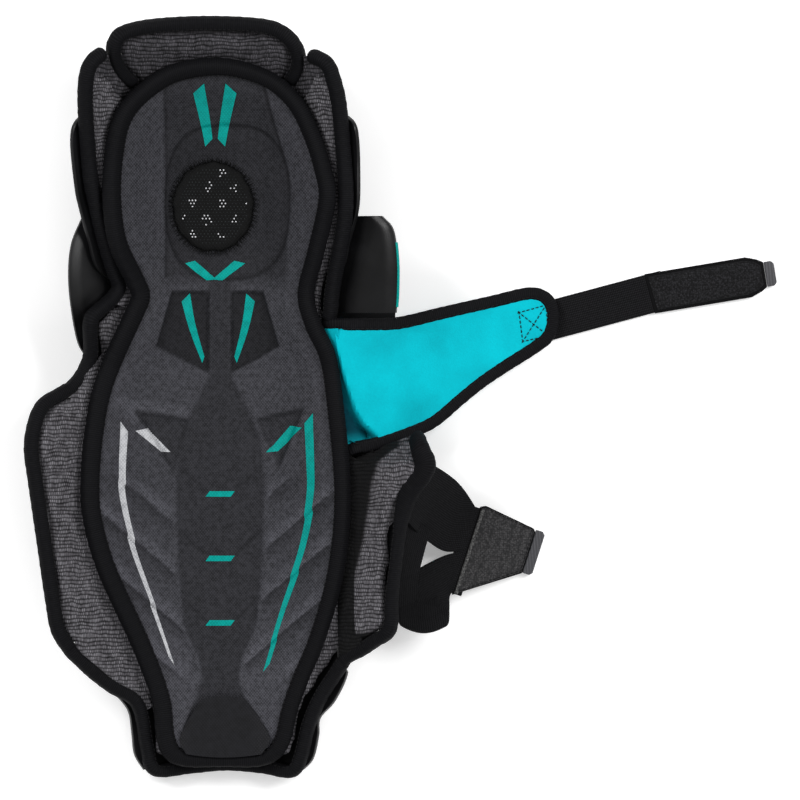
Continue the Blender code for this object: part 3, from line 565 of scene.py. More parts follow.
@dataclass(frozen=True)
class WarpKnitMesh(Finish):
    """Polyester spacer mesh, warp knitted: wavy ribs of small upright loops, with painted shade, near black, beside a
    fold.
    """

    valley: str = "#202023"
    middle: str = "#545256"
    ridge: str = "#7d7b80"
    # Painted shade: the near-black knit that stands in for the shadow in the gap beside a fold.
    fold_shade: tuple[str, str] = ("#060607", "#121213")
    rib_pitch: float = 2.75
    loop_pitch: float = 1.15  # real loops are near 0.9 mm, drawn coarser so that they show

    def dress(self, tree: bpy.types.NodeTree, shader: bpy.types.Node) -> None:
        """Wire ribs, loops and the painted fold shade to colour and bump."""
        coords = add_node(tree, "ShaderNodeTexCoord").outputs["Object"]
        sway = add_node(tree, "ShaderNodeTexNoise", {"Vector": coords, "Scale": 1 / (15 * MM), "Detail": 2.0})
        bent = add_node(tree, "ShaderNodeVectorMath", {0: sway.outputs["Color"], 1: (4 * MM, 6 * MM, 0), 2: coords},
                        operation="MULTIPLY_ADD").outputs[0]
        unit_length = 4.0  # millimetres to one unit of the loop pattern, whose gaps may be an eighth of a unit at most
        loops = add_node(tree, "ShaderNodeTexBrick", {
            "Vector": bent, "Scale": 1 / (unit_length * MM), "Color1": linear(self.middle), "Color2": linear(self.ridge),
            "Mortar": linear(self.valley), "Mortar Size": 0.3 / unit_length, "Mortar Smooth": 1.0,
            "Brick Width": self.loop_pitch / unit_length, "Row Height": self.rib_pitch / unit_length}, offset=0.4)
        ribs = self.waves(tree, bent, self.rib_pitch, math.pi / 2)
        patchy = self.grain(tree, coords, 7.0, 3.0)
        worn = add_node(tree, "ShaderNodeMath", {0: ribs, 1: 0.5, 2: patchy}, operation="MULTIPLY_ADD").outputs[0]
        hollow = self.ramp(tree, worn, ((0.35, "#808080"), (0.9, "#ffffff")))
        open_knit = add_node(tree, "ShaderNodeMix", {0: 1.0, 6: loops.outputs["Color"], 7: hollow}, data_type="RGBA",
                             blend_type="MULTIPLY").outputs[2]
        # Painted shade: near-black knit where the mark says the gap beside the fold lies in shadow.
        fold_shade = self.ramp(tree, worn, ((0.35, self.fold_shade[0]), (0.9, self.fold_shade[1])))
        painted_fold_shade = add_node(tree, "ShaderNodeAttribute", attribute_name="painted_fold_shade").outputs["Fac"]
        colour = add_node(tree, "ShaderNodeMix", {0: painted_fold_shade, 6: open_knit, 7: fold_shade}, data_type="RGBA").outputs[2]
        tree.links.new(colour, shader.inputs["Base Color"])
        shader.inputs["Roughness"].default_value = 0.85
        height = add_node(tree, "ShaderNodeMath", {0: ribs, 1: loops.outputs["Fac"]}, operation="SUBTRACT").outputs[0]
        self.bump(tree, shader, height, 0.4)


@dataclass(frozen=True)
class LaminatedLinerKnit(Finish):
    """Fine polyester knit laminated to moulded foam: tiny diagonal dots on grey side panels, with painted highlight
    where the foam stands high and painted shade in its hollows.
    """

    ground: str = "#0c0c0e"
    stitch: str = "#1a1a1d"
    side_ground: str = "#2e2e32"
    side_stitch: str = "#58585f"
    dot_pitch: float = 1.55  # real dots are near 1 mm, drawn coarser so that they show

    def dress(self, tree: bpy.types.NodeTree, shader: bpy.types.Node) -> None:
        """Wire dots, panels and the painted highlight and shade to colour and bump."""
        coords = add_node(tree, "ShaderNodeTexCoord").outputs["Object"]
        one = self.waves(tree, coords, self.dot_pitch, 0.7, 0.3)
        two = self.waves(tree, coords, self.dot_pitch, -0.7, 0.3)
        dots = add_node(tree, "ShaderNodeMath", {0: one, 1: two}, operation="MULTIPLY").outputs[0]
        patchy = self.grain(tree, coords, 3.0, 3.0)
        shade = add_node(tree, "ShaderNodeMath", {0: dots, 1: 0.6, 2: patchy}, operation="MULTIPLY_ADD").outputs[0]
        centre = self.ramp(tree, shade, ((0.35, self.ground), (1.0, self.stitch)))
        side = self.ramp(tree, shade, ((0.35, self.side_ground), (1.0, self.side_stitch)))
        # The mark mixes the grey side panels with painted highlight and painted shade.
        tone_and_shade = add_node(tree, "ShaderNodeAttribute", attribute_name="tone_and_shade").outputs["Fac"]
        colour = add_node(tree, "ShaderNodeMix", {0: tone_and_shade, 6: centre, 7: side}, data_type="RGBA").outputs[2]
        tree.links.new(colour, shader.inputs["Base Color"])
        shader.inputs["Roughness"].default_value = 0.78
        self.bump(tree, shader, dots, 0.25)


@dataclass(frozen=True)
class WovenEdgeTape(Finish):
    """Nylon grosgrain binding tape: matt black with fine ribs across its length."""

    ground: str = "#08080a"
    rib: str = "#1a1a1d"
    rib_pitch: float = 1.5  # real ribs are near 0.8 mm, drawn coarser so that they show

    def dress(self, tree: bpy.types.NodeTree, shader: bpy.types.Node) -> None:
        """Wire ribs to colour and bump along the tape's own UV."""
        coords = add_node(tree, "ShaderNodeTexCoord").outputs["UV"]
        ribs = self.waves(tree, coords, self.rib_pitch)
        fuzz = self.grain(tree, coords, 0.9)
        shade = add_node(tree, "ShaderNodeMath", {0: fuzz, 1: ribs}, operation="MULTIPLY").outputs[0]
        tree.links.new(self.ramp(tree, shade, ((0.15, self.ground), (0.8, self.rib))), shader.inputs["Base Color"])
        shader.inputs["Roughness"].default_value = 0.72
        self.bump(tree, shader, shade, 0.22)


@dataclass(frozen=True)
class RibbedElastic(Finish):
    """Knitted elastic webbing: black, with cords along its length and a fine weft."""

    ground: str = "#080809"
    cord: str = "#1f1f21"
    cord_pitch: float = 1.6  # real cords are near 1 mm, drawn coarser so that they show

    def dress(self, tree: bpy.types.NodeTree, shader: bpy.types.Node) -> None:
        """Wire cords and weft to colour and bump along the strap's own UV."""
        coords = add_node(tree, "ShaderNodeTexCoord").outputs["UV"]
        cords = self.waves(tree, coords, self.cord_pitch, math.pi / 2)
        weft = self.waves(tree, coords, self.cord_pitch * 0.8)
        weave = add_node(tree, "ShaderNodeMath", {0: cords, 1: weft}, operation="MULTIPLY").outputs[0]
        fuzz = self.grain(tree, coords, 2.5, 4.0)
        shade = add_node(tree, "ShaderNodeMath", {0: fuzz, 1: 0.5, 2: weave}, operation="MULTIPLY_ADD").outputs[0]
        tree.links.new(self.ramp(tree, shade, ((0.2, self.ground), (1.0, self.cord))), shader.inputs["Base Color"])
        shader.inputs["Roughness"].default_value = 0.8
        self.bump(tree, shader, weave, 0.25)


@dataclass(frozen=True)
class FastenerPile(Finish):
    """Nylon hook or loop pile: near black, with rows of tiny bristles."""

    ground: str = "#0b0b0c"
    tip: str = "#2f2f32"
    bristle: float = 1.3

    def dress(self, tree: bpy.types.NodeTree, shader: bpy.types.Node) -> None:
        """Wire bristles to colour and bump."""
        coords = add_node(tree, "ShaderNodeTexCoord").outputs["Object"]
        cells = add_node(tree, "ShaderNodeTexVoronoi", {"Vector": coords, "Scale": 1 / (self.bristle * MM),
                                                        "Randomness": 0.6})
        near = add_node(tree, "ShaderNodeMath", {0: 1.0, 1: cells.outputs["Distance"]}, operation="SUBTRACT").outputs[0]
        patchy = self.grain(tree, coords, 1.8, 3.0)
        shade = add_node(tree, "ShaderNodeMath", {0: near, 1: patchy}, operation="MULTIPLY").outputs[0]
        tree.links.new(self.ramp(tree, shade, ((0.15, self.ground), (0.6, self.tip))), shader.inputs["Base Color"])
        shader.inputs["Roughness"].default_value = 0.82
        self.bump(tree, shader, near, 0.4)


@dataclass(frozen=True)
class BrushedNeoprene(Finish):
    """Neoprene with a brushed knit face: bright teal, with painted shade in dark teal where the cloth turns down at a
    fold.
    """

    low: str = "#009caa"
    high: str = "#00bccb"
    # Painted shade: dark teal that stands in for the shadow where the cloth turns down.
    fold_shade_low: str = "#002f3a"
    fold_shade_high: str = "#00404c"
    nap: float = 1.2

    def dress(self, tree: bpy.types.NodeTree, shader: bpy.types.Node) -> None:
        """Wire nap, patches and the painted fold shade to colour and bump."""
        coords = add_node(tree, "ShaderNodeTexCoord").outputs["Object"]
        patches = self.grain(tree, coords, 38.0, 3.0)
        nap = self.grain(tree, coords, self.nap, 2.0)
        shade = add_node(tree, "ShaderNodeMath", {0: nap, 1: 0.35, 2: patches}, operation="MULTIPLY_ADD").outputs[0]
        flat = self.ramp(tree, shade, ((0.4, self.low), (0.95, self.high)))
        fold = self.ramp(tree, shade, ((0.4, self.fold_shade_low), (0.95, self.fold_shade_high)))
        # The turned mark mixes in the painted shade.
        turned = add_node(tree, "ShaderNodeAttribute", attribute_name="turned").outputs["Fac"]
        colour = add_node(tree, "ShaderNodeMix", {0: turned, 6: flat, 7: fold}, data_type="RGBA").outputs[2]
        tree.links.new(colour, shader.inputs["Base Color"])
        shader.inputs["Roughness"].default_value = 0.8
        self.bump(tree, shader, nap, 0.15)


@dataclass(frozen=True)
class MouldedPlastic(Finish):
    """Injection-moulded polyethylene: gloss black with a faint flow texture and dulled patches."""

    colour: str = "#0c0c0d"
    worn: str = "#1a1a1c"
    gloss: float = 0.28

    def dress(self, tree: bpy.types.NodeTree, shader: bpy.types.Node) -> None:
        """Wire a faint texture to colour, gloss and bump."""
        coords = add_node(tree, "ShaderNodeTexCoord").outputs["Object"]
        patches = self.grain(tree, coords, 45.0, 5.0)
        tree.links.new(self.ramp(tree, patches, ((0.4, self.colour), (0.8, self.worn))), shader.inputs["Base Color"])
        rough = add_node(tree, "ShaderNodeMapRange", {0: patches, 1: 0.3, 2: 0.8, 3: self.gloss, 4: self.gloss + 0.2})
        tree.links.new(rough.outputs[0], shader.inputs["Roughness"])
        shader.inputs["IOR"].default_value = 1.51
        self.bump(tree, shader, self.grain(tree, coords, 1.1), 0.05)


@dataclass(frozen=True)
class PlatedSteel(Finish):
    """Nickel-plated steel rivet: grey metal with fine turned scuffs."""

    def dress(self, tree: bpy.types.NodeTree, shader: bpy.types.Node) -> None:
        """Wire scuffs to roughness."""
        coords = add_node(tree, "ShaderNodeTexCoord").outputs["Object"]
        scuffs = self.grain(tree, coords, 1.5, 4.0)
        tree.links.new(self.ramp(tree, scuffs, ((0.3, "#8e8e92"), (0.8, "#b9b9bd"))), shader.inputs["Base Color"])
        rough = add_node(tree, "ShaderNodeMapRange", {0: scuffs, 1: 0.3, 2: 0.8, 3: 0.25, 4: 0.5})
        tree.links.new(rough.outputs[0], shader.inputs["Roughness"])
        shader.inputs["Metallic"].default_value = 1.0


@dataclass(frozen=True)
class GripRubber(Finish):
    """Soft moulded rubber grip: dark grey, with fine ribs that a finger holds on."""

    colour: str = "#3a3a3d"
    rib: str = "#4f4f53"

    def dress(self, tree: bpy.types.NodeTree, shader: bpy.types.Node) -> None:
        """Wire ribs to colour and bump."""
        coords = add_node(tree, "ShaderNodeTexCoord").outputs["Object"]
        ribs = self.waves(tree, coords, 2.2, 0.1)
        fine = self.grain(tree, coords, 0.8)
        shade = add_node(tree, "ShaderNodeMath", {0: ribs, 1: fine}, operation="MULTIPLY").outputs[0]
        tree.links.new(self.ramp(tree, shade, ((0.1, self.colour), (0.7, self.rib))), shader.inputs["Base Color"])
        shader.inputs["Roughness"].default_value = 0.6
        self.bump(tree, shader, ribs, 0.3)


@dataclass(frozen=True)
class PrintedFilm(Finish):
    """Heat-pressed polyurethane film: a plain colour that the knit under it breaks up a little."""

    colour: str = "#00938b"
    faded: str = "#007c76"
    gloss: float = 0.5

    def dress(self, tree: bpy.types.NodeTree, shader: bpy.types.Node) -> None:
        """Wire the knit that shows through to colour and bump."""
        coords = add_node(tree, "ShaderNodeTexCoord").outputs["Object"]
        one = self.waves(tree, coords, 1.7, 0.7, 0.3)
        two = self.waves(tree, coords, 1.7, -0.7, 0.3)
        dots = add_node(tree, "ShaderNodeMath", {0: one, 1: two}, operation="MULTIPLY").outputs[0]
        patchy = self.grain(tree, coords, 5.0, 4.0)
        shade = add_node(tree, "ShaderNodeMath", {0: dots, 1: 0.4, 2: patchy}, operation="MULTIPLY_ADD").outputs[0]
        tree.links.new(self.ramp(tree, shade, ((0.35, self.faded), (0.75, self.colour))), shader.inputs["Base Color"])
        shader.inputs["Roughness"].default_value = self.gloss
        self.bump(tree, shader, dots, 0.12)


KNIT = WarpKnitMesh("warp_knit_spacer_mesh")
# A darker copy of the knit: painted shade for the thigh guard and the ear gussets, which lie in shade.
SHADED_KNIT = WarpKnitMesh("warp_knit_dark_mesh", "#111113", "#38373a", "#58565b")
# A near-black copy of the knit: sheets of painted shade for the gap beside the right wing's fold and under the wrap's
# root.
FOLD_SHADE_KNIT = WarpKnitMesh("warp_knit_painted_fold_shade", "#050506", "#111112", "#1a1a1b")
LINER_KNIT = LaminatedLinerKnit("laminated_liner_knit")
DARK_KNIT = LaminatedLinerKnit("dark_disc_knit", "#030303", "#0b0b0c", "#030303", "#0b0b0c", 1.9)
PORE_KNIT = LaminatedLinerKnit("disc_pore_rim", "#17191a", "#2a2d2e", "#17191a", "#2a2d2e", 1.9)
TAPE = WovenEdgeTape("woven_edge_tape", shine=0.08)
THREAD = WovenEdgeTape("sewing_thread", "#121213", "#2a2a2c")
ELASTIC = RibbedElastic("ribbed_elastic", shine=0.08)
WEBBING_FACE = FastenerPile("brushed_webbing_face", "#232324", "#4b4a4b", 1.5)
WORN_EDGE = FastenerPile("worn_webbing_edge", "#2c2c2d", "#767674", 1.1)
HOOK = FastenerPile("hook_pile")
LOOP = FastenerPile("loop_pile", "#0d0d0e", "#262628", 2.0)
NEOPRENE = BrushedNeoprene("brushed_neoprene", shine=0.08)
PLASTIC = MouldedPlastic("moulded_polyethylene", shine=0.3)
STEEL = PlatedSteel("plated_steel", shine=0.5)
RUBBER = GripRubber("grip_rubber", shine=0.3)
TEAL_FILM = PrintedFilm("teal_print_film", shine=0.08)
SILVER_FILM = PrintedFilm("silver_print_film", "#b9babd", "#8d8e92", 0.35)
SCUFF_FILM = PrintedFilm("scuff_guard_film", "#1b1b1e", "#141416", 0.42)
PORE_FILM = PrintedFilm("pale_under_film", "#d9dadd", "#b5b6ba", 0.5)


def new_tree(name: str, sizes: Sequence[str]) -> tuple[bpy.types.NodeTree, bpy.types.Node, bpy.types.Node]:
    """Start a Geometry Nodes tree.

    Args:
        name: name of the tree.
        sizes: names of its number inputs.

    Returns:
        The tree, its input node and its output node.
    """
    tree = bpy.data.node_groups.new(name, "GeometryNodeTree")
    tree.interface.new_socket("Geometry", in_out="INPUT", socket_type="NodeSocketGeometry")
    for size in sizes:
        tree.interface.new_socket(size, in_out="INPUT", socket_type="NodeSocketFloat")
    tree.interface.new_socket("Material", in_out="INPUT", socket_type="NodeSocketMaterial")
    tree.interface.new_socket("Geometry", in_out="OUTPUT", socket_type="NodeSocketGeometry")
    return tree, add_node(tree, "NodeGroupInput"), add_node(tree, "NodeGroupOutput")


def close_tree(tree: bpy.types.NodeTree, given: bpy.types.Node, out: bpy.types.Node,
               made: bpy.types.NodeSocket) -> None:
    """End a tree: real geometry, smooth, with its material."""
    real = add_node(tree, "GeometryNodeRealizeInstances", {0: made})
    soft = add_node(tree, "GeometryNodeSetShadeSmooth", {0: real.outputs[0]})
    dressed = add_node(tree, "GeometryNodeSetMaterial", {0: soft.outputs[0], "Material": given.outputs["Material"]})
    tree.links.new(dressed.outputs[0], out.inputs[0])


def stitch_tree() -> bpy.types.NodeTree:
    """A tree that sews stitches along edges."""
    known = bpy.data.node_groups.get("stitches")
    if known:
        return known
    tree, given, out = new_tree("stitches", ("Spacing", "Stitch Length", "Thread Radius"))
    line = add_node(tree, "GeometryNodeMeshToCurve", {0: given.outputs["Geometry"]})
    spots = add_node(tree, "GeometryNodeCurveToPoints", {0: line.outputs[0], "Length": given.outputs["Spacing"]},
                     mode="LENGTH")
    turn = add_node(tree, "FunctionNodeAlignRotationToVector", {"Vector": spots.outputs["Tangent"]}, axis="Z")
    ball = add_node(tree, "GeometryNodeMeshUVSphere", {"Segments": 6, "Rings": 5, "Radius": 1.0})
    half = add_node(tree, "ShaderNodeMath", {0: given.outputs["Stitch Length"], 1: 0.5}, operation="MULTIPLY")
    thin = given.outputs["Thread Radius"]
    size = add_node(tree, "ShaderNodeCombineXYZ", {0: thin, 1: thin, 2: half.outputs[0]})
    sewn = add_node(tree, "GeometryNodeInstanceOnPoints", {"Points": spots.outputs[0], "Instance": ball.outputs[0],
                                                           "Rotation": turn.outputs[0], "Scale": size.outputs[0]})
    close_tree(tree, given, out, sewn.outputs[0])
    return tree


def stud_tree(shape: Stud) -> bpy.types.NodeTree:
    """A tree that sets one small shape on every point, along the point's facing attribute.

    Args:
        shape: the shape to set.

    Returns:
        The tree.
    """
    name = f"studs_{shape.value}"
    known = bpy.data.node_groups.get(name)
    if known:
        return known
    tree, given, out = new_tree(name, ("Radius", "Height"))
    spots = add_node(tree, "GeometryNodeMeshToPoints", {0: given.outputs["Geometry"]})
    facing = add_node(tree, "GeometryNodeInputNamedAttribute", {"Name": "facing"}, data_type="FLOAT_VECTOR")
    turn = add_node(tree, "FunctionNodeAlignRotationToVector", {"Vector": facing.outputs[0]}, axis="Z")
    if shape is Stud.DISC:
        form = add_node(tree, "GeometryNodeMeshCylinder", {"Vertices": 24, "Radius": 1.0, "Depth": 1.0})
    elif shape is Stud.DOME:
        form = add_node(tree, "GeometryNodeMeshUVSphere", {"Segments": 12, "Rings": 8, "Radius": 1.0})
    else:
        form = add_node(tree, "GeometryNodeMeshCone", {"Vertices": 5, "Radius Bottom": 1.0, "Radius Top": 0.3,
                                                       "Depth": 1.0})
    radius = given.outputs["Radius"]
    size = add_node(tree, "ShaderNodeCombineXYZ", {0: radius, 1: radius, 2: given.outputs["Height"]})
    made = add_node(tree, "GeometryNodeInstanceOnPoints", {"Points": spots.outputs[0], "Instance": form.outputs[0],
                                                           "Rotation": turn.outputs[0], "Scale": size.outputs[0]})
    close_tree(tree, given, out, made.outputs[0])
    return tree


def grown(name: str, seed: bpy.types.Mesh, tree: bpy.types.NodeTree, finish: Finish, **sizes: float
          ) -> bpy.types.Mesh:
    """Run a Geometry Nodes tree on a mesh and keep the result as a plain mesh.

    Args:
        name: name of the result.
        seed: the mesh that the tree starts from.
        tree: the tree.
        finish: the material that it sets.
        **sizes: the tree's sizes in millimetres, with underscores for spaces.

    Returns:
        The plain mesh.
    """
    holder = bpy.data.objects.new(f"{name}_seed", seed)
    bpy.context.scene.collection.objects.link(holder)
    modifier = holder.modifiers.new("grow", "NODES")
    modifier.node_group = tree
    sockets = {item.name: item.identifier for item in tree.interface.items_tree if item.in_out == "INPUT"}
    for label, value in sizes.items():
        modifier[sockets[label.replace("_", " ").title()]] = value * MM
    modifier[sockets["Material"]] = finish.make()
    graph = bpy.context.evaluated_depsgraph_get()
    mesh = bpy.data.meshes.new_from_object(holder.evaluated_get(graph))
    mesh.name = name
    bpy.data.objects.remove(holder)
    bpy.data.meshes.remove(seed)
    return mesh


def line_mesh(name: str, lines: Sequence[tuple[Points, bool]]) -> bpy.types.Mesh:
    """Edges along lines in millimetres, each with a flag that says whether it is closed."""
    points: list[list[float]] = []
    edges: list[tuple[int, int]] = []
    for line, closed in lines:
        first = len(points)
        points += (line * MM).tolist()
        last = len(points) - 1
        edges += [(i, i + 1) for i in range(first, last)]
        if closed:
            edges.append((last, first))
    mesh = bpy.data.meshes.new(name)
    mesh.from_pydata(points, edges, [])
    return mesh


def point_mesh(name: str, points: Points, facing: Points) -> bpy.types.Mesh:
    """Loose points in millimetres with a facing direction each."""
    mesh = bpy.data.meshes.new(name)
    mesh.from_pydata((points * MM).tolist(), [], [])
    mesh.attributes.new("facing", "FLOAT_VECTOR", "POINT").data.foreach_set("vector", facing.ravel())
    return mesh


class SewingRoom:
    """Gathers the seams of every body and sews each body's stitches as one piece."""

    def __init__(self) -> None:
        """Start with no seams."""
        self.lines: dict[Body, list[tuple[Points, bool]]] = {}

    def add(self, body: Body, line: Points, closed: bool = False) -> None:
        """Take one seam line of a body."""
        self.lines.setdefault(body, []).append((line, closed))

    def sew(self) -> None:
        """Make the stitches of every body."""
        for body, lines in self.lines.items():
            name = f"{body.value}_stitches"
            mesh = grown(name, line_mesh(name, lines), stitch_tree(), THREAD, spacing=3.3, stitch_length=2.7,
                         thread_radius=0.42)
            put(name, mesh, THREAD, body)


@dataclass(frozen=True)
class EdgeBinding:
    """A woven tape folded round the edge of a pad."""

    name: str
    body: Body
    route: Route
    inward: int
    depth: float = BASE_MID
    outer: float = 4.8
    width: float = 9.8
    lean: float = 0.0  # how much wider the tape is on the left than on the right
    height: float = 10.2
    closed: bool = False
    slack: float = 0.3
    stands_for: tuple[str, ...] = ()

    def seat(self) -> tuple[Points, Points]:
        """Points of the tape's middle line, and the direction to the leg at each."""
        line = flow(self.route, 1.6, self.closed)
        points = SURFACE.layer(line[:, 0], line[:, 1], self.depth)
        return points, SURFACE.measure(points)[1]

    def frame(self) -> tuple[Points, Points, Points, Points]:
        """Middle line, inward direction, direction to the leg and tape width at each point."""
        centre, up = self.seat()
        along = tangents(centre, self.closed)
        side = unit(np.cross(up, along)) * self.inward
        up = unit(np.cross(along, side)) * self.inward
        width = self.width - self.lean * np.tanh(centre[:, 0] / 25)
        return centre, side, up, width

    def profile(self, run: Points, width: Points) -> Points:
        """The tape's cross-section at each point, puckered a little along its length.

        Args:
            run: length along the tape at each point.
            width: the tape's width at each point.

        Returns:
            For each point, a ring of places inward and to the leg.
        """
        angle = np.linspace(0, 2 * math.pi, 22, endpoint=False)
        power = 2 / 2.7
        flat = np.sign(np.cos(angle)) * np.abs(np.cos(angle)) ** power
        tall = np.sign(np.sin(angle)) * np.abs(np.sin(angle)) ** power
        pucker = np.sin(run[:, None] / 1.31 + 2 * np.sin(angle)[None]) + 0.6 * np.sin(run[:, None] / 0.83 + angle[None])
        pucker = 1 + self.slack * 0.06 * pucker
        half = width[:, None] / 2
        ends = np.ones(len(run))
        if not self.closed:
            gap = np.minimum(run, run[-1] - run)
            ends = np.sqrt(np.clip(1 - np.clip(1 - gap / 4.0, 0, 1) ** 2, 0.06, 1))
        across = half - self.outer + half * flat[None] * pucker * ends[:, None]
        rise = self.height / 2 * tall[None] * pucker * ends[:, None]
        return np.stack([across, rise], -1)

    def build(self, room: SewingRoom | None) -> bpy.types.Object:
        """Make the tape and hand its seam to the sewing room.

        Args:
            room: where its stitches are gathered, or None for a tape without a row of them.

        Returns:
            The tape.
        """
        centre, side, up, width = self.frame()
        steps = np.linalg.norm(np.diff(centre, axis=0), axis=1)
        run = np.concatenate([[0], steps.cumsum()])
        mesh = sweep(self.name, centre, side, up, self.profile(run, width), self.closed)
        if room:
            reach = width - self.outer - 2.0
            share = np.abs((reach - (width / 2 - self.outer)) / (width / 2))
            rise = self.height / 2 * (1 - share ** 2.7) ** (1 / 2.7) + 0.1
            room.add(self.body, centre + side * reach[:, None] + up * rise[:, None], self.closed)
        return put(self.name, mesh, TAPE, self.body, self.stands_for)


@dataclass(frozen=True)
class FoldBridge(EdgeBinding):
    """A short run of tape that carries an edge binding across a fold, from the shell to another body."""

    outer: float = 4.6
    width: float = 9.4
    height: float = 9.8

    def bend(self) -> None:
        """Make the tape, on no body."""
        centre, side, up, width = self.frame()
        run = np.concatenate([[0], np.linalg.norm(np.diff(centre, axis=0), axis=1).cumsum()])
        mesh = sweep(self.name, centre, side, up, self.profile(run, width), False)
        piece = put(self.name, mesh, TAPE, None)
        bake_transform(piece)


@dataclass(frozen=True)
class SunkBinding(EdgeBinding):
    """A tape whose end slopes away under another piece."""

    brink: float = -172.0  # where it starts to slope
    slope: float = 0.9
    widths: Route = ()  # places along the leg and the tape's width there

    def frame(self) -> tuple[Points, Points, Points, Points]:
        """Middle line, inward direction, direction to the leg and tape width at each point."""
        centre, side, up, _ = super().frame()
        return centre, side, up, np.interp(centre[:, 1], *np.array(self.widths).T)

    def seat(self) -> tuple[Points, Points]:
        """Points of the tape's middle line, and the direction to the leg at each."""
        points, up = super().seat()
        points[:, 2] -= self.slope * np.maximum(points[:, 1] - self.brink, 0)
        return points, up


def between(one: Route, other: Route, rows: int) -> tuple[Points, Points, Points]:
    """A grid of places between two lines.

    Args:
        one: the line at the grid's first row.
        other: the line at its last row.
        rows: number of rows.

    Returns:
        Sideways places, places along the leg, and the share of the way along the lines.
    """
    lines = [even(flow(line, 2.0), 2.5) for line in (one, other)]
    stops = np.linspace(0, 1, min(len(line) for line in lines))
    first, last = (np.stack([np.interp(stops, np.linspace(0, 1, len(line)), line[:, k]) for k in (0, 1)], -1)
                   for line in lines)
    place = first[None] + (last - first)[None] * np.linspace(0, 1, rows)[:, None, None]
    return place[..., 0], place[..., 1], stops


@dataclass(frozen=True)
class FoldStrip:
    """The cover cloth across a fold, which bends where a wing or the thigh guard turns on the shell."""

    name: str
    body: Body
    start: Route  # line on the shell's side
    end: Route  # line on the moving side
    finish: "Finish"
    slot: Slot
    crown: float = 0.5  # how far its middle stands over the pads' leg side
    sink: float = 1.6  # how far its sides lie below it
    drop: float = 0.0  # how much lower its moving side ends
    wall: float = 1.2

    def build(self, dress: Callable[[bpy.types.Mesh], None] | None = None) -> None:
        """Make the strip, on no body.

        Args:
            dress: marks its mesh for its finish, where that reads a mark.
        """
        x, y, stops = between(self.start, self.end, 15)
        share = np.linspace(0, 1, 15)[:, None]
        fall = self.drop * share ** 6 * smooth_step(0.1, 0.5, stops)
        depth = BASE_HIGH + self.crown - self.sink * (2 * share - 1) ** 2 - fall
        top, low = SURFACE.layer(x, y, depth, BASE_MID), SURFACE.layer(x, y, depth - self.wall, BASE_MID)
        mesh = slab(self.name, top, low)
        if dress:
            dress(mesh)
        piece = put(self.name, mesh, self.finish, None)
        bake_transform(piece)


@dataclass(frozen=True)
class PuffedPad:
    """A foam pad in a knit cover, swollen by cloth simulation inside the room that its layer has."""

    name: str
    body: Body
    node: str
    low: float = BASE_LOW - 0.2
    high: float = BASE_HIGH + 1.8
    swell: float = 5.0
    voxel: float = 4.2
    grow: float = 1.6  # makes up for the corners that the remesh rounds off
    fill: float = 0.7
    finish: Finish = KNIT
    hinge: float | None = None  # sideways place of a fold, beside which the pad stays flat to leave room
    dress: Callable[[bpy.types.Mesh], None] | None = None  # marks its mesh for its finish

    def build(self, nodes: dict[str, bpy.types.Object]) -> bpy.types.Object:
        """Make the pad.

        Args:
            nodes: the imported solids.

        Returns:
            The pad.
        """
        start = self.cover(nodes[self.node].data)
        coords = np.array([v.co for v in start.vertices])
        coords = self.inflate(start, coords)
        points = coords / MM
        depth, square = SURFACE.measure(points)
        high = np.full(len(points), self.high)
        if self.hinge is not None:
            high -= (self.high - BASE_HIGH) * (1 - smooth_step(6, 26, np.abs(points[:, 0] - self.hinge)))
        points += square * (np.clip(depth, self.low, high) - depth)[:, None]
        start.vertices.foreach_set("co", (points * MM).ravel())
        mesh = self.refine(start)
        if self.dress:
            self.dress(mesh)
        piece = put(self.name, mesh, self.finish, self.body, (self.node,))
        return piece

    def cover(self, source: bpy.types.Mesh) -> bpy.types.Mesh:
        """An even mesh round the pad's solid."""
        bm = bmesh.new()
        bm.from_mesh(source)
        bmesh.ops.remove_doubles(bm, verts=bm.verts, dist=1e-6)
        mesh = bpy.data.meshes.new(self.name)
        bm.to_mesh(mesh)
        bm.free()
        return baked(mesh, lambda piece: self.remesh(piece))

    def remesh(self, piece: bpy.types.Object) -> None:
        """Modifiers that even a pad out."""
        even_out = piece.modifiers.new("even", "REMESH")
        even_out.mode = "VOXEL"
        even_out.voxel_size = self.voxel * MM
        soften = piece.modifiers.new("soften", "SMOOTH")
        soften.iterations = 5
        full = piece.modifiers.new("full", "DISPLACE")
        full.strength = self.grow * MM
        full.mid_level = 0.0

    def inflate(self, mesh: bpy.types.Mesh, coords: Points) -> Points:
        """Swell the cover with a little air.

        Args:
            mesh: the cover.
            coords: its points in metres.

        Returns:
            The swollen points, none moved by more than the swell.
        """
        piece = bpy.data.objects.new(f"{self.name}_cloth", mesh)
        bpy.context.scene.collection.objects.link(piece)
        cloth = piece.modifiers.new("air", "CLOTH")
        cloth.settings.quality = 4
        cloth.settings.use_pressure = True
        cloth.settings.uniform_pressure_force = 4.0
        cloth.settings.effector_weights.gravity = 0.0
        cloth.point_cache.frame_end = 20
        for step in range(1, 21):
            bpy.context.scene.frame_set(step)
        graph = bpy.context.evaluated_depsgraph_get()
        moved = np.array([v.co for v in piece.evaluated_get(graph).data.vertices])
        bpy.data.objects.remove(piece)
        bpy.context.scene.frame_set(1)
        shift = moved - coords
        length = np.linalg.norm(shift, axis=1, keepdims=True)
        return coords + shift * np.minimum(1, self.swell * MM / np.maximum(length, 1e-9))

    def refine(self, mesh: bpy.types.Mesh) -> bpy.types.Mesh:
        """One subdivision over the swollen cover."""
        def add(piece: bpy.types.Object) -> None:
            """The modifier that rounds it."""
            fine = piece.modifiers.new("round", "SUBSURF")
            fine.levels = fine.render_levels = 1

        return finish_mesh(baked(mesh, add), 180)


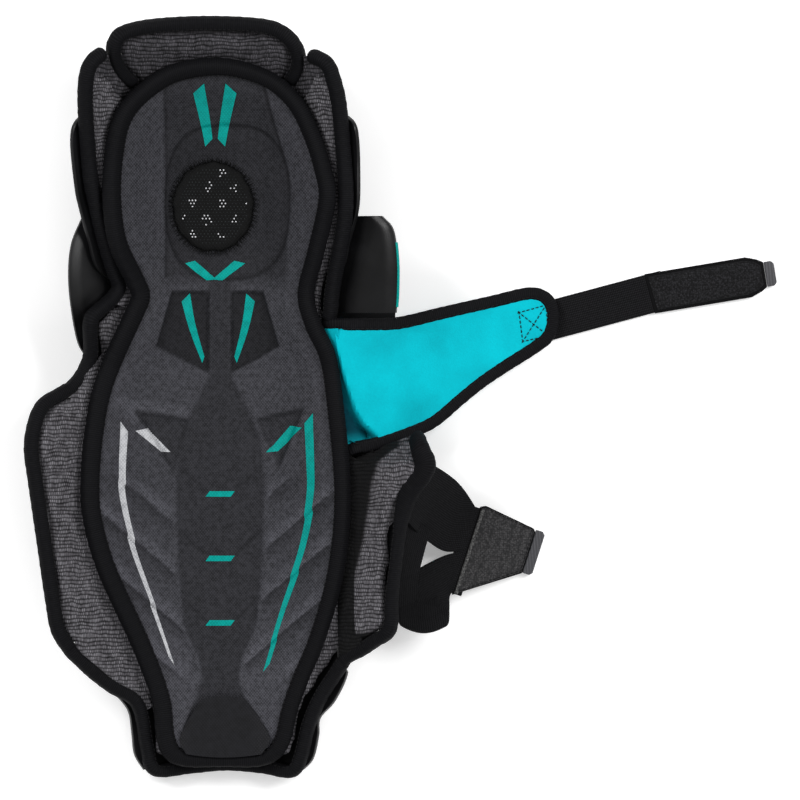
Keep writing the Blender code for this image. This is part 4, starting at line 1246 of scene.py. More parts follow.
def marked(mesh: bpy.types.Mesh, name: str, share: Callable[[Points, Points], Points]) -> None:
    """Give each of a mesh's points a mark that its finish reads.

    Args:
        mesh: the mesh.
        name: the mark's name.
        share: the mark, from 0 to 1, at places across and along the leg in millimetres.
    """
    spots = np.empty(len(mesh.vertices) * 3)
    mesh.vertices.foreach_get("co", spots)
    x, y, _ = spots.reshape(-1, 3).T / MM
    mesh.attributes.new(name, "FLOAT", "POINT").data.foreach_set("value", share(x, y))


def baked(mesh: bpy.types.Mesh, dress: Callable[[bpy.types.Object], None]) -> bpy.types.Mesh:
    """A mesh with modifiers applied.

    Args:
        mesh: the mesh to start from, which is used up.
        dress: adds the modifiers to an object that holds it.

    Returns:
        The plain result.
    """
    holder = bpy.data.objects.new(mesh.name, mesh)
    bpy.context.scene.collection.objects.link(holder)
    dress(holder)
    graph = bpy.context.evaluated_depsgraph_get()
    result = bpy.data.meshes.new_from_object(holder.evaluated_get(graph))
    bpy.data.objects.remove(holder)
    bpy.data.meshes.remove(mesh)
    return result


@dataclass(frozen=True)
class Stripe:
    """A plain bar of pressed film on the liner."""

    finish: Finish
    route: Route
    widths: tuple[float, float]
    lean: float = 0.0  # how far one side runs ahead of the other, which slants the ends


@dataclass
class Liner:
    """The removable moulded liner: foam with a pressed pattern, its tape, disc, scuff film and plain stripes."""

    route: Route = (
        (2, -396), (-24, -396), (-36, -391), (-41, -377), (-44, -352), (-58, -314), (-81, -263), (-91, -230),
        (-94, -203), (-91, -161), (-83, -124), (-62, -76), (-58, -65), (-62, -54), (-74, -27), (-78, 6), (-76, 38),
        (-70, 62), (-56, 80), (-32, 95), (2, 99), (34, 90), (54, 73), (66, 50), (74, 25), (77, 3), (69, -34),
        (62, -63), (67, -85), (77, -107), (82, -136), (88, -205), (83, -262), (70, -309), (58, -338), (50, -361),
        (46, -379), (39, -391), (26, -396),
    )
    corners: tuple[tuple[float, float], ...] = ((-36, -391), (39, -391), (54, 73), (-56, 80))
    inset: float = 5.7
    rows: int = 330
    columns: int = 116
    disc: tuple[float, float] = (-5, -1)
    disc_reach: tuple[float, float] = (29, 32)
    cup: float = 3.5
    facet: float = 3.0
    pocket: float = 3.4
    channel: float = 1.4
    saw: float = 2.8
    saw_pitch: float = 35.0
    step: float = 1.3
    cup_place: tuple[float, float] = (5.7, 2.8)
    cup_reach: tuple[float, float] = (47.0, 56.0)
    rib_starts: tuple[float, float] = (307.0, 290.0)
    notches: tuple[float, ...] = (-206.0, -252.0, -298.0)
    channel_reach: tuple[tuple[float, float], ...] = (
        (-372, 27), (-352, 17), (-340, 13), (-325, 14), (-300, 26), (-260, 30), (-200, 32), (-165, 29), (-135, 14), (-121, 7))
    waist_left: Route = ((-37, -61), (-7, -61), (-7, -121), (-48.5, -100))
    waist_right: Route = ((33, -61), (45, -100), (7, -121), (7, -61))
    pocket_left: Route = ((-64, -146), (-21, -152), (-34, -193))
    pocket_right: Route = ((25, -152), (64, -143), (44, -190))
    patch_left: Route = ((-24, -392), (-29, -382), (-22, -366), (-12, -352))
    patch_right: Route = ((30, -391), (36, -381), (28, -366), (18, -352))

    @staticmethod
    def inside(x: Points, y: Points, outline: Route) -> Points:
        """How far places lie inside a convex outline, negative outside.

        Args:
            x: sideways places.
            y: places along the leg.
            outline: the outline's corners.

        Returns:
            The distance to the nearest side.
        """
        corners = np.array(outline, float)
        after = np.roll(corners, -1, axis=0)
        turn = np.sign(np.sum(corners[:, 0] * after[:, 1] - corners[:, 1] * after[:, 0]))
        gaps = []
        for (ax, ay), (bx, by) in zip(corners, after):
            length = math.hypot(bx - ax, by - ay)
            gaps.append(turn * ((bx - ax) * (y - ay) - (by - ay) * (x - ax)) / length)
        return np.minimum.reduce(gaps)

    def relief(self, x: Points, y: Points) -> Points:
        """How far the pressed pattern lies below the liner's full height.

        Args:
            x: sideways places.
            y: places along the leg.

        Returns:
            The drop at each place.
        """
        ring = np.hypot((x - self.disc[0] - 2) / self.disc_reach[0], (y - self.disc[1]) / self.disc_reach[1])
        oval = self.oval(x, y)
        cup = self.step + (self.cup - self.step) * (1 - smooth_step(1.05, 1.6, ring))
        cup = cup * (1 - smooth_step(0.98, 1.02, oval)) + 0.9 * np.exp(-((oval - 1.01) / 0.022) ** 2)
        waist = self.facet * smooth_step(0, 3, self.facets(x, y))
        pocket = self.pocket * smooth_step(0, 4, self.pockets(x, y))
        reach = np.abs(x)
        shin = smooth_step(-372, -362, y) * (1 - smooth_step(-135, -118, y))
        channel = self.channel * (1 - smooth_step(-1.5, 1.5, reach - self.spine(y))) * shin
        tooth, ribbed = self.ribs(x, y)
        saw = self.saw * tooth * (1 - smooth_step(0.91, 1.0, tooth)) * ribbed
        seams = 1.0 * np.exp(-(self.seam_gap(x, y) / 1.3) ** 2)
        notch = 0.7 * self.hatch(x, y)
        return np.maximum.reduce([cup, waist, pocket, channel + notch, saw, seams])

    def oval(self, x: Points, y: Points) -> Points:
        """Measure of the knee cup's rounded outline: 1 on it, less inside."""
        (cx, cy), (rx, ry) = self.cup_place, self.cup_reach
        return (np.abs((x - cx) / rx) ** 2.6 + np.abs((y - cy) / ry) ** 2.6) ** (1 / 2.6)

    def facets(self, x: Points, y: Points) -> Points:
        """How far places lie inside the two waist facets."""
        return np.maximum(self.inside(x, y, self.waist_left), self.inside(x, y, self.waist_right))

    def pockets(self, x: Points, y: Points) -> Points:
        """How far places lie inside the two shin pockets."""
        return np.maximum(self.inside(x, y, self.pocket_left), self.inside(x, y, self.pocket_right))

    def spine(self, y: Points) -> Points:
        """Half width of the dark channel down the middle of the shin."""
        rows = np.array(self.channel_reach)
        return np.interp(y, rows[:, 0], rows[:, 1])

    def ribs(self, x: Points, y: Points) -> tuple[Points, Points]:
        """The slanted side ribs: place in a rib from its crest, 0, to the next crease, 1, and how much rib there is."""
        reach = np.abs(x)
        q = (y - 0.82 * reach + np.where(x > 0, *self.rib_starts)) / self.saw_pitch
        low = smooth_step(-345, -325, y) * (1 - smooth_step(-206, -186, y))
        return q - np.floor(q), smooth_step(1, 7, reach - self.spine(y)) * low

    def seam_gap(self, x: Points, y: Points) -> Points:
        """Distance to the pressed seams beside the knee."""
        left = np.abs(x + 41) + 40 * smooth_step(-52, -58, y)
        right = np.abs(x - 32 - (88 - y) / 3.2) + 40 * smooth_step(34, 28, y)
        return np.minimum(left, right)

    def hatch(self, x: Points, y: Points) -> Points:
        """Pressed lines that slant from the channel's sides to each short bar, from 0 to 1."""
        reach = np.abs(x)
        found = np.zeros_like(x)
        for height in self.notches:
            gap = np.abs(y - height - 3 - 0.9 * (reach - 11)) / 1.35
            found = np.maximum(found, np.exp(-(gap / 1.3) ** 2) * smooth_step(9, 12, reach))
        return found * (1 - smooth_step(-4, 0, reach - self.spine(y)))

    def tone_and_shade(self, x: Points, y: Points) -> Points:
        """How grey the knit looks, from 0 to 1: grey side panels, with painted shade in the cup, facets, pockets and
        pressed lines, and painted highlight on crests.
        """
        reach = np.abs(x)
        knee = smooth_step(-62, -48, y)
        side = smooth_step(-1.5, 2, reach - self.spine(y)) * (1 - knee)
        flank = np.maximum(smooth_step(39, 42, -x), smooth_step(-1, 2, x - 32 - np.clip(88 - y, 0, 60) / 3.2)) * knee
        tone_and_shade = 0.26 + 0.3 * side + 0.3 * flank + 0.14 * side * smooth_step(-280, -330, y)
        # Painted shade in the recessed knee cup, a little lighter on its right side.
        cup = 1 - smooth_step(0.97, 1.01, self.oval(x, y))
        tone_and_shade = tone_and_shade * (1 - cup) + (0.17 + 0.06 * smooth_step(-10, 30, x)) * cup
        # Painted highlight on the lip above the left pocket, on the left side only.
        lip_highlight = smooth_step(-9, -6, self.pockets(x, y)) * (1 - smooth_step(-2, 0, self.pockets(x, y)))
        tone_and_shade += 0.28 * lip_highlight * smooth_step(-158, -150, y) * smooth_step(12, 30, -x)
        # Painted highlight on each rib's crest and painted shade in its crease.
        tooth, ribbed = self.ribs(x, y)
        tone_and_shade += ribbed * (0.38 * (1 - smooth_step(0.05, 0.4, tooth)) - 0.2 * smooth_step(0.6, 0.9, tooth))
        # Painted shade in the facets, the pockets, the pressed seams, the cup's outline and the hatch lines.
        pressed = np.maximum(smooth_step(-0.5, 1.5, self.facets(x, y)), 0.6 * smooth_step(-0.5, 1.5, self.pockets(x, y)))
        line = np.maximum(np.exp(-(self.seam_gap(x, y) / 1.4) ** 2), np.exp(-((self.oval(x, y) - 1.0) / 0.025) ** 2))
        line = np.maximum(line, 0.6 * self.hatch(x, y))
        return np.clip(tone_and_shade * (1 - 0.85 * pressed) * (1 - 0.75 * line), 0, 1)

    def surface(self, x: Points, y: Points, lift: float = 0.0) -> Points:
        """Points on the liner's leg side, raised by a lift."""
        return SURFACE.layer(x, y, LINER_HIGH - self.relief(x, y) + lift, LINER_MID)

    def outline(self) -> Points:
        """The foam's edge, just inside its tape."""
        line = flow(self.route, 2.0, True)
        along = tangents(line, True)
        inward = np.stack([along[:, 1], -along[:, 0]], 1)
        steep = SURFACE.measure(SURFACE.layer(line[:, 0], line[:, 1], LINER_MID))[1]
        slope = -(steep[:, :2] * inward).sum(1) / steep[:, 2]
        return line + inward * (self.inset / np.sqrt(1 + slope ** 2))[:, None]

    def grid(self) -> tuple[Points, Points, Points]:
        """Places across the whole liner in rows, and the distance of each to the edge."""
        edge = self.outline()
        at = [int(np.argmin(np.hypot(*(edge - corner).T))) for corner in self.corners]

        def run(start: int, end: int) -> Points:
            """Edge points from one corner to another in the route's direction."""
            stop = end if end >= start else end + len(edge)
            return edge[np.arange(start, stop + 1) % len(edge)]

        left, top = run(at[0], at[3]), run(at[3], at[2])
        right, low = run(at[2], at[1])[::-1], run(at[1], at[0])[::-1]
        v = np.linspace(0, 1, self.rows)[:, None]
        u = ((1 - np.cos(math.pi * np.linspace(0, 1, self.columns))) / 2 * 0.5 + np.linspace(0, 1, self.columns) * 0.5)[None]
        sides = []
        for side in (left, right):
            y = side[0, 1] + (side[-1, 1] - side[0, 1]) * v[:, 0]
            order = np.argsort(side[:, 1])
            sides.append(np.stack([np.interp(y, side[order, 1], side[order, 0]), y], -1)[:, None])
        ends = []
        for end in (low, top):
            x = end[0, 0] + (end[-1, 0] - end[0, 0]) * u[0]
            order = np.argsort(end[:, 0])
            ends.append(np.stack([x, np.interp(x, end[order, 0], end[order, 1])], -1)[None])
        u, v = u[..., None], v[..., None]
        mesh = (1 - u) * sides[0] + u * sides[1] + (1 - v) * ends[0] + v * ends[1]
        mesh -= (1 - u) * (1 - v) * low[0] + u * (1 - v) * low[-1] + (1 - u) * v * top[0] + u * v * top[-1]
        gap = np.full(mesh.shape[:2], 1e9)
        for point in edge:
            gap = np.minimum(gap, np.hypot(mesh[..., 0] - point[0], mesh[..., 1] - point[1]))
        return mesh[..., 0], mesh[..., 1], gap

    def foam(self) -> None:
        """The moulded foam with its knit face."""
        x, y, gap = self.grid()
        rim = 1 - smooth_step(0, 9, gap)
        drop = self.relief(x, y) * (1 - rim) + 2.6 * rim
        drop += 0.12 * np.sin(x / 7.1) * np.sin(y / 9.3)
        top = SURFACE.layer(x, y, LINER_HIGH - drop, LINER_MID)
        low = SURFACE.layer(x, y, LINER_LOW, LINER_MID)
        mesh = slab("liner_foam", top, low)
        # The mark carries the side panels and the painted highlight and shade.
        values = np.tile(self.tone_and_shade(x, y).ravel(), 2).astype(np.float32)
        mesh.attributes.new("tone_and_shade", "FLOAT", "POINT").data.foreach_set("value", values)
        put("liner_foam", mesh, LINER_KNIT, Body.LINER, ("liner_pad",))

    def scuff_film(self) -> None:
        """The smooth rounded film over the ankle."""
        sides = [flow(side, 2.0) for side in (self.patch_left, self.patch_right)]
        y = np.linspace(-391.5, -352.5, 40)[:, None]
        u = np.linspace(0, 1, 40)[None]
        left, right = (edge_at(side)(y) for side in sides)
        x = left + (right - left) * u
        y = y + 2.5 * (1 - (2 * u - 1) ** 2) * np.sign(y + 372) * smooth_step(8, 20, np.abs(y + 372))
        top = SURFACE.layer(x, y, PATCH_LOW + 1.2, PATCH_LOW)
        low = SURFACE.layer(x, y, PATCH_LOW, PATCH_LOW)
        put("scuff_film", slab("scuff_film", top, low), SCUFF_FILM, Body.LINER, ("abrasion_patch",))

    def knee_disc(self) -> None:
        """The dark disc in the knee cup, with rows of pores and a frayed rim."""
        a, b = np.meshgrid(np.sin(np.linspace(-1, 1, 46) * math.pi / 2), np.sin(np.linspace(-1, 1, 46) * math.pi / 2))
        u, v = a * np.sqrt(1 - b * b / 2), b * np.sqrt(1 - a * a / 2)
        ring, angle = np.hypot(u, v), np.arctan2(v, u)
        wobble = 1 + 0.012 * np.sin(9 * angle) + 0.01 * np.sin(17 * angle)
        x = self.disc[0] + self.disc_reach[0] * u * wobble
        y = self.disc[1] + self.disc_reach[1] * v * wobble
        low_depth = LINER_HIGH - self.cup + 0.9
        crown = 3.0 * np.sqrt(np.clip(1 - np.clip((ring - 0.86) / 0.14, 0, 1) ** 2, 0.02, 1)) + 0.6 * (1 - ring ** 2)
        top = SURFACE.layer(x, y, low_depth + crown, low_depth)
        low = SURFACE.layer(x, y, low_depth + 0 * x, low_depth)
        put("knee_disc_pad", slab("knee_disc_pad", top, low), DARK_KNIT, Body.LINER, ("knee_disc",))
        self.pores(low_depth)

    def pores(self, low_depth: float) -> None:
        """Pores on a hexagonal grid, some with the pale under film showing, and loose loops round the rim."""
        step = 2.5
        rows, columns = np.mgrid[-14:15, -14:15]
        x = (columns + 0.5 * (rows % 2)) * step
        y = rows * step * 0.866
        inside = np.hypot(x / self.disc_reach[0], y / self.disc_reach[1]) < 0.86
        x, y = x[inside] + self.disc[0], y[inside] + self.disc[1]
        ring = np.hypot((x - self.disc[0]) / self.disc_reach[0], (y - self.disc[1]) / self.disc_reach[1])
        points = SURFACE.layer(x, y, low_depth + 3.0 + 0.6 * (1 - ring ** 2), low_depth)
        facing = SURFACE.measure(points)[1]
        chance = np.sin(x * 0.31 + 1.3) * np.cos(y * 0.27 - 0.4) + 0.7 * np.random.default_rng(7).random(len(x))
        pale = chance > 1.05
        for name, chosen, finish in (("disc_pores_dark", ~pale, PORE_KNIT), ("disc_pores_pale", pale, PORE_FILM)):
            seed = point_mesh(name, points[chosen], facing[chosen])
            radius = 0.55 if finish is PORE_FILM else 0.5
            mesh = grown(name, seed, stud_tree(Stud.DOME), finish, radius=radius, height=0.3)
            put(name, mesh, finish, Body.LINER)
        angle = np.linspace(0, 2 * math.pi, 150, endpoint=False) + 0.03 * np.sin(np.arange(150) * 2.4)
        x = self.disc[0] + self.disc_reach[0] * np.cos(angle)
        y = self.disc[1] + self.disc_reach[1] * np.sin(angle)
        points = SURFACE.layer(x, y, low_depth + 1.2, low_depth)
        outward = np.stack([np.cos(angle), np.sin(angle), 0.7 + 0.5 * np.sin(np.arange(150) * 4.1)], 1)
        mesh = grown("disc_rim_loops", point_mesh("disc_rim_loops", points, outward), stud_tree(Stud.SPIKE), DARK_KNIT,
                     radius=0.55, height=3.4)
        put("disc_rim_loops", mesh, DARK_KNIT, Body.LINER)

    def stripes(self) -> None:
        """Plain bars of film: teal on the strap side and down the middle, silver on the other side."""
        bars = [
            Stripe(TEAL_FILM, ((-15, 86), (-11, 66), (-8, 46)), (9, 6), -5), Stripe(TEAL_FILM, ((8, 86), (4, 66), (1, 46)), (9, 6), 5),
            Stripe(TEAL_FILM, ((-22, -41), (-6, -54)), (6.5, 5), 5), Stripe(TEAL_FILM, ((14, -41), (-2, -54)), (6.5, 5), -5),
            Stripe(TEAL_FILM, ((-25, -66), (-20, -86), (-12, -110)), (7.5, 3), -4),
            Stripe(TEAL_FILM, ((22, -66), (18, -86), (11, -110)), (7.5, 3), 4),
            Stripe(SILVER_FILM, ((-71, -158), (-72, -200), (-64, -243), (-48, -290), (-36, -325)), (5.6, 2), 7),
            Stripe(TEAL_FILM, ((66, -152), (67, -200), (61, -243), (46, -290), (34, -330)), (6.4, 3), -7),
            Stripe(SILVER_FILM, ((-58, -160), (-40, -176)), (8, 5), 6), Stripe(TEAL_FILM, ((56, -158), (38, -176)), (8, 5), -6),
        ]
        bars += [Stripe(TEAL_FILM, ((-9, height), (9, height)), (4, 4), 3) for height in self.notches]
        for finish, name in ((TEAL_FILM, "teal_bars"), (SILVER_FILM, "silver_bars")):
            bm = bmesh.new()
            for bar in bars:
                if bar.finish is finish:
                    bm.from_mesh(self.bar(bar))
            mesh = bpy.data.meshes.new(name)
            bm.to_mesh(mesh)
            bm.free()
            put(name, finish_mesh(mesh), finish, Body.LINER)

    def bar(self, stripe: Stripe) -> bpy.types.Mesh:
        """One bar of film, pressed into the liner's face."""
        line = flow(stripe.route, 1.2)
        along = tangents(line, False)
        side = np.stack([-along[:, 1], along[:, 0]], 1)
        width = np.linspace(*stripe.widths, len(line))
        share = np.linspace(-0.5, 0.5, 7)[:, None]
        x = line[None, :, 0] + (side[None, :, 0] * width + along[None, :, 0] * stripe.lean) * share
        y = line[None, :, 1] + (side[None, :, 1] * width + along[None, :, 1] * stripe.lean) * share
        return slab("bar", self.surface(x, y, 0.3), self.surface(x, y, -0.4))

    def build(self, room: SewingRoom) -> None:
        """Make the liner and everything on it."""
        self.foam()
        self.scuff_film()
        self.knee_disc()
        self.stripes()
        EdgeBinding("liner_tape", Body.LINER, self.route, -1, LINER_MID, width=12.2, lean=1.2, height=11.2, closed=True,
                    stands_for=("liner_binding",)).build(room)


@dataclass
class Carrier:
    """The padded carrier behind the liner: base, thigh guard and calf wings with their tapes and patches."""

    knee_left: Route = ((-94, -112), (-92, -104), (-92, -83), (-86, -75), (-77, -67), (-72, -58), (-76, -46), (-83, -22),
                        (-88, 0), (-92, 20), (-95, 60), (-95, 85), (-92, 98), (-86, 105), (-81, 107))
    knee_right: Route = ((77, -83), (79, -75), (80, -63), (82, -51), (85, -36), (89, -12), (90, 10), (88, 40), (85, 72), (81, 89),
                         (77, 99), (70, 104), (63, 106))
    hem: Route = ((-96, -328), (-88, -335), (-76, -344), (-62, -352), (-56, -364), (-52, -388), (-46, -403), (-20, -401),
                  (4, -399), (30, -401), (50, -404), (57, -395), (63, -371), (71, -352), (81, -336), (89, -324))
    calf_left: Route = ((-106, -130), (-114, -135), (-125, -142), (-131, -154), (-134, -173), (-131, -198), (-125, -240),
                        (-119, -282), (-115, -303), (-106, -318))
    calf_right: Route = ((101, -317), (111, -310), (119, -305), (122, -297), (122, -282), (124, -258), (128, -230),
                         (136, -207), (146, -193), (149, -184), (145, -174.5), (140, -163))
    thigh: Route = ((-61, 86), (-70, 95), (-75, 106), (-74, 115), (-67, 122), (-45, 127), (-8, 129), (30, 127), (46, 121),
                    (55, 110), (56, 98), (50, 87))

    fold_shade: Route = ((-300, 94), (-275, 92.7), (-257, 97.7), (-239, 102), (-217, 105.5), (-196, 108.4), (-183, 112.7),
                     (-176, 121), (-172, 128))  # places along the leg, and across it, where the right fold's painted shade ends
    right_widths: Route = ((-310, 9.8), (-290, 9.2), (-258, 7.2), (-236, 7.4), (-218, 12), (-203, 16.5), (-186, 17.5),
                           (-175, 15), (-165, 12))

    def build(self, nodes: dict[str, bpy.types.Object], room: SewingRoom) -> None:
        """Make the pads, tapes and patches.

        Args:
            nodes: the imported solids.
            room: where the stitches are gathered.
        """
        PuffedPad("carrier_pad", Body.SHELL, "base_pad", high=BASE_HIGH + 0.2, voxel=5.0).build(nodes)
        PuffedPad("thigh_guard_cushion", Body.THIGH, "thigh_guard_pad", finish=SHADED_KNIT).build(nodes)
        PuffedPad("calf_wing_left_cushion", Body.WING_LEFT, "calf_wing_left_pad", hinge=-98.6).build(nodes)
        # The right wing's cushion gets painted shade beside its fold.
        PuffedPad("calf_wing_right_cushion", Body.WING_RIGHT, "calf_wing_right_pad", hinge=92.6, dress=self.shade_right_fold).build(nodes)
        tapes = (
            ("carrier_tape_left", Body.SHELL, self.knee_left, -1, "base_binding_left"),
            ("carrier_tape_right", Body.SHELL, self.knee_right, 1, "base_binding_right"),
            ("carrier_tape_hem", Body.SHELL, self.hem, 1, "base_binding_hem"),
            ("calf_wing_left_tape", Body.WING_LEFT, self.calf_left, 1, "calf_wing_left_binding"),
            ("thigh_guard_tape", Body.THIGH, self.thigh, -1, "thigh_guard_binding"),
        )
        for name, body, route, inward, node in tapes:
            EdgeBinding(name, body, route, inward, stands_for=(node,)).build(room)
        SunkBinding("calf_wing_right_tape", Body.WING_RIGHT, self.calf_right, 1, widths=self.right_widths,
                    stands_for=("calf_wing_right_binding",)).build(room)
        FoldBridge("fold_bridge_left_top", Body.WING_LEFT, (*self.knee_left[1::-1], (-99, -122), *self.calf_left[:2]),
                   1).bend()
        FoldBridge("fold_bridge_left_low", Body.WING_LEFT, (*self.hem[1::-1], (-101, -323), *self.calf_left[:-3:-1]),
                   -1).bend()
        FoldBridge("fold_bridge_right_low", Body.WING_RIGHT, (*self.hem[-2:], (95, -320), *self.calf_right[:2]), 1).bend()
        # The right strip is a near-black sheet of painted shade in the gap beside the liner.
        for name, body, finish, start, end in (
                ("fold_strip_left", Body.WING_LEFT, KNIT, ((-82, -100), (-76, -340.6)), ((-108, -133), (-104.4, -316.3))),
                ("fold_strip_right", Body.WING_RIGHT, FOLD_SHADE_KNIT, ((84, -174), (86, -327)), ((106, -184), (104, -225), (99, -262), (99, -292), (104, -316))),
                ("fold_strip_thigh", Body.THIGH, KNIT, ((-60, 67), (49, 67)), ((-60, 83), (49, 83)))):
            FoldStrip(name, body, start, end, finish, Slot.KNIT, crown=0.3 if body is Body.WING_RIGHT else 0.5).build()
        for name, start, end in (("ear_gusset_left", ((-89, 73), (-92, 88), (-88, 106)), ((-44, 77), (-48, 88), (-62, 107))),
                                 ("ear_gusset_right", ((76, 71), (79, 88), (71, 105)), ((34, 77), (36, 88), (45, 107)))):
            FoldStrip(name, Body.THIGH, start, end, SHADED_KNIT, Slot.KNIT, -3.0, 0.6).build()
        self.gusset()
        self.patches(room)
        self.dots()

    def shade_right_fold(self, mesh: bpy.types.Mesh) -> None:
        """Mark where a piece of the right wing gets painted shade, near black, beside its fold."""
        edge = np.array(self.fold_shade).T
        marked(mesh, "painted_fold_shade", lambda x, y: np.maximum(1 - smooth_step(-1.5, 2.0, x - np.interp(y, *edge)),
                                                      smooth_step(303, 306, -y)))

    def gusset(self) -> None:
        """The mesh at the top of the right wing, which slopes away under the calf wrap, with painted shade beside the
        fold, the mesh at hem and waist, and a near-black sheet of painted shade under the wrap's root.
        """
        brink = -183.0
        x = np.linspace(95, 143, 32)[None]
        low = np.full_like(x, brink - 8)
        high = np.interp(x, (95, 101, 108, 113, 136, 150), (-181.5, -178.0, -174.8, -172.5, -164.5, -157.0))
        y = low + (high - low) * np.linspace(0, 1, 26)[:, None]
        top = SURFACE.layer(x + 0 * y, np.minimum(y, brink), BASE_HIGH - 0.6, BASE_MID)
        top[..., 0], top[..., 1] = x + 0 * y, y
        top[..., 2] -= np.interp(x, (100, 126), (2.0, 0.9)) * np.maximum(y - brink, 0)
        mesh = slab("calf_wing_right_gusset", top, top - np.array((0, 0, 1.4)))
        # Painted shade beside the fold, as on the right wing's cushion.
        self.shade_right_fold(mesh)
        put("calf_wing_right_gusset", mesh, KNIT, Body.WING_RIGHT)
        for name, finish, level, one, other in (
                ("carrier_hem_gusset", KNIT, BASE_HIGH - 0.1, ((-80, -318), (-68, -330), (-56, -344), (-50, -358)),
                 ((-82, -337), (-74, -343), (-62, -350), (-55, -361))),
                ("carrier_waist_gusset", KNIT, BASE_HIGH - 0.1, ((-58, -44), (-54, -60), (-62, -76)),
                 ((-75, -44), (-70, -59), (-77, -70))),
                # A near-black sheet of painted shade under the wrap's root.
                ("carrier_root_shade_sheet", FOLD_SHADE_KNIT, BASE_LOW - 0.3, ((84, -172), (86, -190)), ((106, -174), (109, -190)))):
            x, y, _ = between(one, other, 9)
            mesh = slab(name, *(SURFACE.layer(x, y, depth, BASE_MID) for depth in (level, level - 1.4)))
            put(name, mesh, finish, Body.SHELL)

    def patches(self, room: SewingRoom) -> None:
        """Loop landings on the outside of the left wing, and the strap anchor on the right one."""
        table = (
            ("loop_landing_upper", Body.WING_LEFT, LOOP, Slot.PILE, (-130, -108), (-196, -158), "loop_patch_upper"),
            ("loop_landing_lower", Body.WING_LEFT, LOOP, Slot.PILE, (-122, -108), (-282, -222), "loop_patch_lower"),
            ("strap_anchor_patch", Body.WING_RIGHT, ELASTIC, Slot.WEBBING, (104, 124), (-296, -192), "y_strap_anchor"),
        )
        for name, body, finish, slot, across, along, node in table:
            x, y = np.meshgrid(np.linspace(*across, 16), np.linspace(*along, 40))
            seen = LANDING_LOW + 0.65
            top, low = SURFACE.layer(x, y, LANDING_LOW + 1.3, seen), SURFACE.layer(x, y, LANDING_LOW, seen)
            put(name, slab(name, top, low), finish, body, (node,))
            ring = np.array([(across[0] + 2, along[0] + 2), (across[1] - 2, along[0] + 2), (across[1] - 2, along[1] - 2),
                             (across[0] + 2, along[1] - 2), (across[0] + 2, along[0] + 2)], float)
            line = even(ring, 2.0, True)
            room.add(body, SURFACE.layer(line[:, 0], line[:, 1], LANDING_LOW - 0.1, seen), True)

    def dots(self) -> None:
        """Round hook and loop fasteners that hold the liner on the carrier."""
        places = np.array([(0.0, 0.0), (0.0, -190.0), (0.0, -330.0)])
        names = ("knee", "shin", "ankle")
        for name, body, finish, level in (("hook_dot", Body.SHELL, HOOK, BASE_HIGH + 0.8),
                                          ("loop_dot", Body.LINER, LOOP, BASE_HIGH + 2.1)):
            points = np.hstack([places, np.full((3, 1), level)])
            facing = np.tile((0.0, 0.0, 1.0), (3, 1))
            mesh = grown(f"{name}s", point_mesh(name, points, facing), stud_tree(Stud.DISC), finish, radius=14.0,
                         height=1.0)
            put(f"{name}s", mesh, finish, body, [f"{name}_{place}" for place in names])


